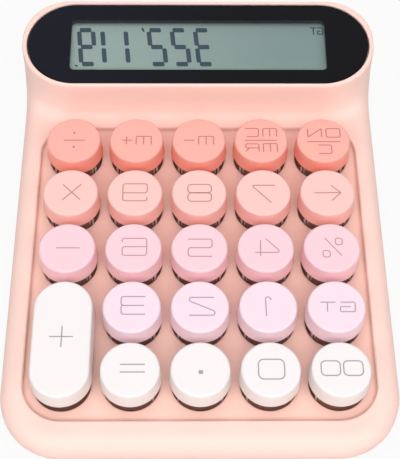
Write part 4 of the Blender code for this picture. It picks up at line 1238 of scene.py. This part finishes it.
KEY_INKS = ((156, 152, 154), (168, 154, 164), (190, 142, 154), (190, 132, 128), (204, 114, 106))


def key_ink(row, shade):
    """Print of one row: a dark shade of the cap's own colour, a little uneven."""
    made = Recipe("key_ink_row_" + str(row), Roughness=0.5, Specular_IOR_Level=0.2)
    pale = [min(255, value + 12) for value in shade]
    made.give("Base Color", made.mix(made.noise(0.8), tint(*shade), tint(*pale)))
    return made.material


print_inks = [key_ink(row, shade) for row, shade in enumerate(KEY_INKS)]
for name, strokes in SIGNS.items():
    sign = Patchwork()
    row, x, y = KEYS[name]
    for corners, radius, closed in strokes:
        path = bent(corners, radius, closed) if radius else np.array(corners, float)
        strip(sign, path + (x, y), closed, DOT_STROKE if name == "dot" else STROKE)
    for dot_x, dot_y, radius in DOTS.get(name, ()):
        prism(sign, round_plan(x + dot_x, y + dot_y, radius, 16), -INK_SINK, INK_RAISE)
    piece("sign_" + name, sign, deck_place, "key_" + name, print_inks[row],
          outward=True)
print("signs:", len(SIGNS))

# %% [markdown]
# ## Switches
#
# Each key stands on a keyboard switch: a lower half that clips into a steel plate, a smoky
# brown upper half shaped like a small tower, eight small pale clips beside it, and a sliding
# stem with a cross that plugs into the cap. Under the caps only slivers of them show: the
# flanges, towers and plate, whose brown-pink holds a painted reflection of the pink case, and
# the clips, whose pale colour is a painted glint. All the lower halves are one mesh and all
# the upper halves another, the same section repeated at each key.

# %% Switch halves and their plate
PLATE_LEVEL = -12.8
PLATE_DEPTH = 1.5
PLATE_AREA = (46.8, -9.4, 85.6, 4.0, 4.0)
FLANGE_LEVEL = -12.0
TOWER_LEVEL = -7.0
HOUSING_FOOT = -17.2
BORE = (3.7, -3.2, 3.2, 0.3, 0.3)
SNAP_HALF = 6.97            # the plate's square holes
GUIDE_GAP = 0.3
SKIN = 0.01                 # keeps two faces that touch apart
CLIP = (0.3, -0.5, 0.5, 0.12, 0.12)
CLIP_OUT = (5.1, 6.1)       # from the switch's middle
CLIP_ALONG = 3.8
CLIP_TOP = -9.6


def square(half, corner):
    """A square with round corners about a switch's middle."""
    return box_plan(half, -half, half, corner, corner, 0.0, 5)


def satin(name, dark, pale, roughness, spot, **constants):
    """A plain moulded or painted finish: two near colours in clouds, uneven gloss, fine grain."""
    made = Recipe(name, **constants)
    clouds = made.noise(spot, 3.0)
    grain = made.noise(0.3, 2.0)
    made.give("Base Color", made.mix(clouds, dark, pale))
    made.give("Roughness", roughness + (clouds - 0.5) * 0.12 + (grain - 0.5) * 0.06)
    made.give("Normal", made.bump(grain, 0.006))
    return made.material


def per_key(name, sections, material, bore_foot):
    """The same section at every key, with the slider's bore sunk in it or run through it."""
    made = Patchwork()
    low, high = sections[0][2], sections[-1][2]
    through = bore_foot < low
    for _, x, y in KEYS.values():
        rings = [ring_at(square(half, corner) + (x, y), z) for half, corner, z in sections]
        hole = box_plan(*BORE, 0.0, 5) + (x, y)
        made.band(rings)
        made.band([ring_at(hole, high), ring_at(hole, max(low, bore_foot))])
        for edge, level, up in [(rings[-1], high, True), (rings[0], low, False)][:1 + through]:
            made.fill([edge[:, :2], hole], lambda px, py: inside_box(px - x, py - y, *BORE) < 0,
                      level, up)
        if not through:
            made.lid(ring_at(hole, bore_foot))
            made.lid(rings[0], up=False)
    piece(name, made, deck_place, "case", material)


# The housings are smoky plastic whose brown is partly a painted pink reflection of the case; the
# plate's pink-brown is a painted reflection on steel.
housing_dark = satin("housing_dark", tint(128, 92, 82), tint(150, 110, 98), 0.25, 4.0)
housing_smoky = satin("housing_smoky", tint(142, 104, 94), tint(166, 126, 114), 0.16, 4.0)
# The clips' pale colour is a painted glint: small pale parts stand in for light caught beside the
# switch towers.
painted_glint_clip = satin("painted_glint_clip", tint(246, 226, 220), tint(252, 238, 232), 0.25, 3.0, Metallic=0.3)
steel = satin("plate_steel", tint(134, 98, 88), tint(152, 114, 104), 0.4, 12.0, Metallic=0.2)
lower_half = [(6.7, 0.4, HOUSING_FOOT), (6.9, 0.4, PLATE_LEVEL + SKIN),    # half, corner, height
              (7.2, 0.5, PLATE_LEVEL + SKIN), (7.2, 0.5, FLANGE_LEVEL - 0.2),
              (7.0, 0.4, FLANGE_LEVEL)]
per_key("switch_bases", lower_half, housing_dark, HOUSING_FOOT + 0.5)
tower = [(5.2, 0.9, FLANGE_LEVEL + SKIN), (5.15, 0.9, FLANGE_LEVEL + 0.6)]
tower += [(4.68 - 0.25 * back, 0.8, TOWER_LEVEL - 0.25 * (1 - up)) for back, up in round_steps(4)]
# Painted glints: eight pale clips at each switch.
glint_clips = Patchwork()
for _, x, y in KEYS.values():
    for across in (-1, 1):
        for along in (-1, 1):
            for out in CLIP_OUT:
                middle = (x + out * across, y + CLIP_ALONG * along)
                prism(glint_clips, box_plan(*CLIP, 0.0, 4) + middle, FLANGE_LEVEL + SKIN, CLIP_TOP)
piece("switch_painted_glints", glint_clips, deck_place, "case", painted_glint_clip)
per_key("switch_towers", tower, housing_smoky, FLANGE_LEVEL - 1.0)

carrier = Patchwork()
sheet = box_plan(*PLATE_AREA)
rings = [ring_at(sheet, PLATE_LEVEL - PLATE_DEPTH), ring_at(sheet, PLATE_LEVEL)]
_, x, y = KEYS[LONG_KEY]
holes = [round_plan(x, y + side * GUIDE_REACH, GUIDE_RADIUS + GUIDE_GAP, 24) for side in (-1, 1)]
holes += [square(SNAP_HALF, 0.3) + (key_x, key_y) for _, key_x, key_y in KEYS.values()]


def on_carrier(px, py):
    """True on the sheet, between its holes."""
    guides = [np.hypot(px - x, py - y - side * GUIDE_REACH) > GUIDE_RADIUS + GUIDE_GAP - 0.03
              for side in (-1, 1)]
    snaps = [np.maximum(abs(px - key_x), abs(py - key_y)) > SNAP_HALF - 0.02
             for _, key_x, key_y in KEYS.values()]
    return np.all(guides + snaps, axis=0)


carrier.band(rings)
for hole in holes:
    carrier.band([ring_at(hole, PLATE_LEVEL), ring_at(hole, PLATE_LEVEL - PLATE_DEPTH)])
for level, up in ((PLATE_LEVEL, True), (PLATE_LEVEL - PLATE_DEPTH, False)):
    carrier.fill([sheet, *holes], on_carrier, level, up)
piece("switch_carrier", carrier, deck_place, "case", steel, ["switch_plate"])
stem_white = satin("stem_white", tint(226, 216, 210), tint(236, 228, 222), 0.35, 4.0)
for name in KEYS:
    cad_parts["switch_stem_" + name].material_slots[0].material = stem_white
print("switches:", pieces_made[-3:])

# %% [markdown]
# ## The lower shell and its door
#
# The lower shell closes the case from below: a floor two millimetres thick with a rounded
# edge, a lip that finds the upper shell, posts for the board and a bay for one slim cell.
# It is full of holes and pockets with straight sides, which are easiest to cut as a worker
# would, from a solid slab. The slab is a numpy surface as smooth as the upper shell. The
# battery door is the same slab where the opening takes it out, less a gap, with tongues
# that slide in grooves and four rounded grip ridges.

# %% Slab, blocks and drums
BASE_TOP = 3.0
BASE_FILLET = 1.7
GAP = 0.3                   # between parts that move or plug together
LIP_HEIGHT = 3.0
LIP_WALL = 1.2
SCREW_POST = 3.0            # radii of what is round
SCREW_BOSS = 2.2
SCREW_HOLE = 1.3
SCREW_SINK = 2.6
BOARD_POST = 2.0
FOOT_POCKET = 4.8
SCREW_ROWS = (0.5, 4.9)     # in key pitches
SCREW_POST_SINK = 0.5       # how far a screw post runs into the side wall
BOARD_POSTS = [(x, y) for x in (-1.5, 1.5) for y in (0.5, 3.5)]
BOARD_UNDERSIDE = -19.1
BAY_ENDS = 2.0              # battery bay past the ends and sides of the cell
BAY_SIDES = 0.6
BAY_WALL = 1.6
DOOR_TONGUE = (1.65, 2.35)  # foot and top
TONGUE_REACH = 1.0
EMBED = 1.0                 # how far a joined solid starts inside the floor
PAST = 2.0                  # how far a cutting solid runs past what it cuts
UNDER = -1.0                # where the solids that cut from below start


def stacked(rings, place=deck_place, name="block"):
    """The mesh of a closed solid through rings from the lowest to the highest."""
    made = Patchwork()
    made.solid(rings)
    return skin(name, made, place)


def slab():
    """The floor of the case with its rounded edge."""
    rings = [level_ring(BASE_FILLET * (1 - up), FOOT_STANDOFF + BASE_FILLET * back)
             for back, up in round_steps(7)]
    return stacked(rings + [level_ring(0.0, BASE_TOP)])


def block(low, high):
    """A box between two corners in the world."""
    plan = [(high[0], low[1]), (high[0], high[1]), (low[0], high[1]), (low[0], low[1])]
    return stacked([ring_at(plan, low[2]), ring_at(plan, high[2])], world_place)


def drums(places, radius, low, high, count=32):
    """Upright round bars in the world, as one mesh."""
    made = Patchwork()
    for x, y in places:
        prism(made, round_plan(x, y, radius, count), low, high)
    return skin("drums", made, world_place)


def under_deck(x, y, z):
    """World x and y, in millimetres, of a deck point."""
    return tuple(deck_place([[x, y, z]])[0][:2] / MM)


battery_low, battery_high = (np.array(corner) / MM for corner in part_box("battery"))
door_low, door_high = (np.array(corner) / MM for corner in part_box("battery_door"))
cell_x, cell_y, cell_z = (battery_low + battery_high) / 2
back_edge = door_high[1]
bay_low = np.array([battery_low[0] - BAY_ENDS, battery_low[1] - BAY_SIDES, BASE_TOP])
bay_high = battery_high + (BAY_ENDS, BAY_SIDES, GAP)
screw_x = CASE_HALF - CASE_WALL - SCREW_POST + SCREW_POST_SINK
screws_at = []
for side in (-1, 1):
    for row in SCREW_ROWS:
        y = row * PITCH
        level = (BASE_TOP - DECK_HEIGHT - y * math.sin(DECK_SLOPE)) / math.cos(DECK_SLOPE)
        screws_at.append(under_deck(side * screw_x, y, level))
feet_at = {}
for name in ("front_left", "front_right", "back_left", "back_right"):
    low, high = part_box("foot_" + name)
    feet_at[name] = ((low.x + high.x) / 2 / MM, (low.y + high.y) / 2 / MM)
print("screws at", np.round(screws_at, 1).tolist())
print("battery bay from", bay_low.round(1), "to", bay_high.round(1))


# %% Lower shell
def lip_solid(inset, low, high):
    """The locating lip's outline, straight up between two heights."""
    return stacked([level_ring(inset, low, CASE_BOTTOM), level_ring(inset, high, CASE_BOTTOM)])


posts = Patchwork()
for x, y in BOARD_POSTS:
    plan = round_plan(*under_deck(x * PITCH, y * PITCH, BOARD_UNDERSIDE), BOARD_POST, 24)
    deck_y = plan[:, 1] - DECK_SHIFT + BOARD_UNDERSIDE * math.sin(DECK_SLOPE)
    board = ring_at(np.column_stack([plan[:, 0], deck_y / math.cos(DECK_SLOPE)]), BOARD_UNDERSIDE)
    prism(posts, plan, BASE_TOP - EMBED, deck_place(board)[:, 2] / MM - GAP)

door_half = door_high[0] - TONGUE_REACH + GAP
door_back = back_edge + PAST
tongue_foot, tongue_top = DOOR_TONGUE
tongue_front = bay_low[1] + TONGUE_REACH
lip_inset = CASE_WALL + GAP
lip_top = BASE_TOP + GAP + LIP_HEIGHT
above = lip_top + PAST
base = carve(
    slab(),
    ("UNION", lip_solid(lip_inset, BASE_TOP - EMBED, lip_top)),
    ("DIFFERENCE", lip_solid(lip_inset + LIP_WALL, BASE_TOP, above)),
    ("DIFFERENCE", drums(screws_at, SCREW_POST + 2 * GAP, BASE_TOP, above)),
    ("UNION", drums(screws_at, SCREW_BOSS, BASE_TOP - EMBED, BASE_TOP + PAST)),
    ("UNION", block(bay_low - (BAY_WALL, BAY_WALL, EMBED), bay_high + BAY_WALL)),
    ("DIFFERENCE", block((*bay_low[:2], UNDER), bay_high)),
    ("DIFFERENCE", block((-door_half, bay_low[1] - GAP, UNDER), (door_half, door_back, BASE_TOP))),
    ("DIFFERENCE", block((door_low[0] - GAP, tongue_front - GAP, tongue_foot - GAP),
                         (door_high[0] + GAP, door_back + GAP, tongue_top + GAP))),
    ("DIFFERENCE", block((-door_half, bay_high[1] + BAY_WALL, BASE_TOP - GAP),
                         (door_half, door_back, above))),
    ("UNION", skin("posts", posts, world_place)),
    ("DIFFERENCE", drums(screws_at, SCREW_HOLE, UNDER, BASE_TOP + 2 * PAST)),
    ("DIFFERENCE", drums(screws_at, SCREW_SINK, UNDER, FOOT_STANDOFF + 1.0)),
    ("DIFFERENCE", drums(feet_at.values(), FOOT_POCKET, UNDER, FOOT_STANDOFF + 0.8, 48)))
show("base_shell", base, "case", base_plastic, ["bottom_case"], sharp=40.0)

# %% Battery door
GRIP_COUNT = 5
GRIP_PITCH = 2.0
GRIP_FROM = 5.0             # from the case's back edge
GRIP_HALF = 9.0
GRIP_RADIUS = 0.45
GRIP_SINK = 0.05            # how far a grip's axis lies under the door's face

grips = Patchwork()
for index in range(GRIP_COUNT):
    y = back_edge - GRIP_FROM - GRIP_PITCH * index
    path = round_plan(y, FOOT_STANDOFF - GRIP_SINK, GRIP_RADIUS, 16)
    grips.solid([np.column_stack([np.full(len(path), x), path])[::-1]
                 for x in (-GRIP_HALF, GRIP_HALF)])
door = carve(
    slab(),
    ("INTERSECT", block((GAP - door_half, bay_low[1], UNDER),
                        (door_half - GAP, door_back, BASE_TOP + PAST))),
    ("UNION", block((door_low[0], tongue_front, tongue_foot),
                    (door_high[0], back_edge - BASE_FILLET, tongue_top))),
    ("DIFFERENCE", skin("grips", grips, world_place, outward=True)))
show("door_shell", door, "door", base_plastic, ["battery_door"], sharp=40.0)
print("lower shell and door:", pieces_made[-2:])

# %% [markdown]
# ## Feet, screws and the battery
#
# Four soft feet are glued in shallow round pockets: discs with a rounded edge and two
# fine grooves. Each screw is a flat head with a cross punched in it. The cell is a steel
# can in a dark sleeve that laps over its ends, held between a flat contact and a coil
# spring. All of them are round, so one section turned about an axis makes each. A section
# lists a radius and a place along the axis for each ring.

# %% Feet and screws
FOOT_SECTION = [(1.3, 0.0), (1.6, 0.15), (1.9, 0.0), (2.7, 0.0), (3.0, 0.15), (3.3, 0.0)]
FOOT_SECTION += [(4.1 + 0.4 * up, 0.4 * back) for back, up in round_steps(5)]
FOOT_SECTION += [(4.5, 1.4), (4.4, 1.5)]
SCREW_SECTION = [(2.0, 1.2), (2.2, 1.3), (2.3, 1.5), (2.3, 2.0)]
CROSS_ARM = 0.3             # half the width of an arm
CROSS_REACH = 1.3
CROSS_TOP = 1.75
CROSS = [(0.3, -1.3), (0.3, -0.3), (1.3, -0.3), (1.3, 0.3), (0.3, 0.3), (0.3, 1.3),
         (-0.3, 1.3), (-0.3, 0.3), (-1.3, 0.3), (-1.3, -0.3), (-0.3, -0.3), (-0.3, -1.3)]
FIRST_TURN = 0.4            # each screw stopped at a turn of its own
NEXT_TURN = 1.1

rubber = satin("foot_rubber", tint(196, 190, 186), tint(210, 204, 200), 0.75, 3.0)
screw_steel = satin("screw_steel", tint(150, 148, 150), tint(178, 176, 178), 0.28, 1.5,
                    Metallic=1.0)


def turned_rings(section, x=0.0, y=0.0, count=64):
    """Rings about (x, y) through the radius and height of each row of a section."""
    return [ring_at(round_plan(x, y, radius, count), z) for radius, z in section]


def off_cross(points):
    """True outside a cross about the origin."""
    near, far = np.sort(abs(points), -1).T
    return (near > CROSS_ARM) | (far > CROSS_REACH)


for name, (x, y) in feet_at.items():
    pad = Patchwork()
    pad.solid(turned_rings(FOOT_SECTION, x, y))
    piece("foot_pad_" + name, pad, world_place, "case", rubber,
          ["foot_" + name], sharp=50.0)

screws = Patchwork()
face_z = SCREW_SECTION[0][1]
for index, (x, y) in enumerate(screws_at):
    rings = turned_rings(SCREW_SECTION, x, y, 32)
    screws.band(rings)
    screws.lid(rings[-1])
    turn = FIRST_TURN + NEXT_TURN * index
    spin = np.array([[math.cos(turn), math.sin(turn)], [-math.sin(turn), math.cos(turn)]])
    mark = CROSS @ spin + (x, y)
    screws.fill([rings[0][:, :2], mark], lambda px, py: off_cross(
        np.stack([px - x, py - y], -1) @ spin.T), face_z, up=False)
    screws.band([ring_at(mark, face_z), ring_at(mark, CROSS_TOP)])
    screws.lid(ring_at(mark, CROSS_TOP), up=False)
piece("case_screws", screws, world_place, "case", screw_steel)


# %% Battery and contacts
CONTACT_PLATE = (4.0, -4.0, 4.0, 0.8, 0.8)
CONTACT_THICKNESS = 0.3
SPRING_TURNS = 3.5
SPRING_RADII = (3.6, 2.2)   # at the contact and at the cell
SPRING_FROM = -1.6          # from the cell's end
SPRING_LENGTH = 1.35
WIRE_RADIUS = 0.22


def cell_place(points):
    """World metres of points about the cell's own axis, which lies along x."""
    x, y, z = np.moveaxis(np.asarray(points, float), -1, 0)
    return np.stack([cell_x + z, cell_y + x, cell_z + y], -1) * MM


half = (battery_high[0] - battery_low[0]) / 2
can_steel = satin("can_steel", tint(186, 184, 182), tint(206, 204, 200), 0.25, 2.0, Metallic=1.0)
sleeve_film = satin("battery_sleeve", tint(46, 48, 54), tint(54, 57, 64), 0.3, 8.0)
can = Patchwork()
can.solid(turned_rings([
    (4.6, -half), (4.9, -half + 0.15), (5.05, -half + 0.5), (5.05, half - 1.6), (4.8, half - 1.0),
    (4.3, half - 0.8), (1.9, half - 0.8), (1.9, half - 0.15), (1.7, half)]))
piece("battery_can", can, cell_place, "case", can_steel, ["battery"],
      outward=True)
sleeve = Patchwork()
rings = turned_rings([
    (4.7, half - 0.85), (5.0, half - 0.75), (5.25, half - 1.2), (5.25, -half + 0.5),
    (5.1, -half + 0.2), (5.0, -half + 0.3), (5.0, half - 1.5)])
sleeve.band(rings + rings[:1])
piece("battery_sleeve", sleeve, cell_place, "case", sleeve_film, outward=True)

contacts = Patchwork()
for end, way in ((-half - BAY_ENDS, 1), (half + BAY_ENDS, -1)):
    prism(contacts, box_plan(*CONTACT_PLATE, 0.0, 5), *sorted((end, end + CONTACT_THICKNESS * way)))
contacts.solid(turned_rings([(3.0, half + 1.8), (2.6, half + 1.0), (1.6, half + 0.3),
                             (0.6, half + 0.02)], count=24))
share = np.linspace(0.0, 1.0, 120)
turn = share * 2 * math.pi * SPRING_TURNS
out = np.column_stack([np.cos(turn), np.sin(turn), np.zeros(len(turn))])
spring = out * np.interp(share, (0.0, 1.0), SPRING_RADII)[:, None]
spring[:, 2] = SPRING_FROM - half + SPRING_LENGTH * share
ahead = np.gradient(spring, axis=0)
ahead /= np.linalg.norm(ahead, axis=1)[:, None]
side = np.cross(ahead, out)
around = 2 * math.pi * np.arange(8)[None, :, None] / 8
contacts.solid(spring[:, None] + WIRE_RADIUS * (np.cos(around) * out[:, None]
                                                + np.sin(around) * side[:, None]))
piece("battery_contacts", contacts, cell_place, "case", can_steel, outward=True)
print("battery:", pieces_made[-3:])

# %% [markdown]
# ## The circuit board
#
# The board lies hidden under the switches, and its solid is exact as it is. Only its
# finish is made here: green lacquer, paler where copper runs under it in narrow lines.

# %% Board finish
board = Recipe("board_green", Roughness=0.4)
cells = board.node("TexVoronoi", {"feature": "DISTANCE_TO_EDGE"},
                   {"Vector": board.place(), "Scale": 210.0})
copper = board.span(cells, 0.10, 0.06)
lacquer = board.mix(board.noise(10.0), tint(18, 92, 56), tint(26, 104, 64))
board.give("Base Color", board.mix(copper, lacquer, tint(58, 138, 84)))
board.give("Roughness", 0.32 + board.noise(2.0) * 0.12)
board.give("Normal", board.bump(copper, 0.03))
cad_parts["circuit_board"].material_slots[0].material = board.material

# %% Finish
for name, faces, open_edges in pieces_made:
    if open_edges:
        print("OPEN", name, faces, open_edges)
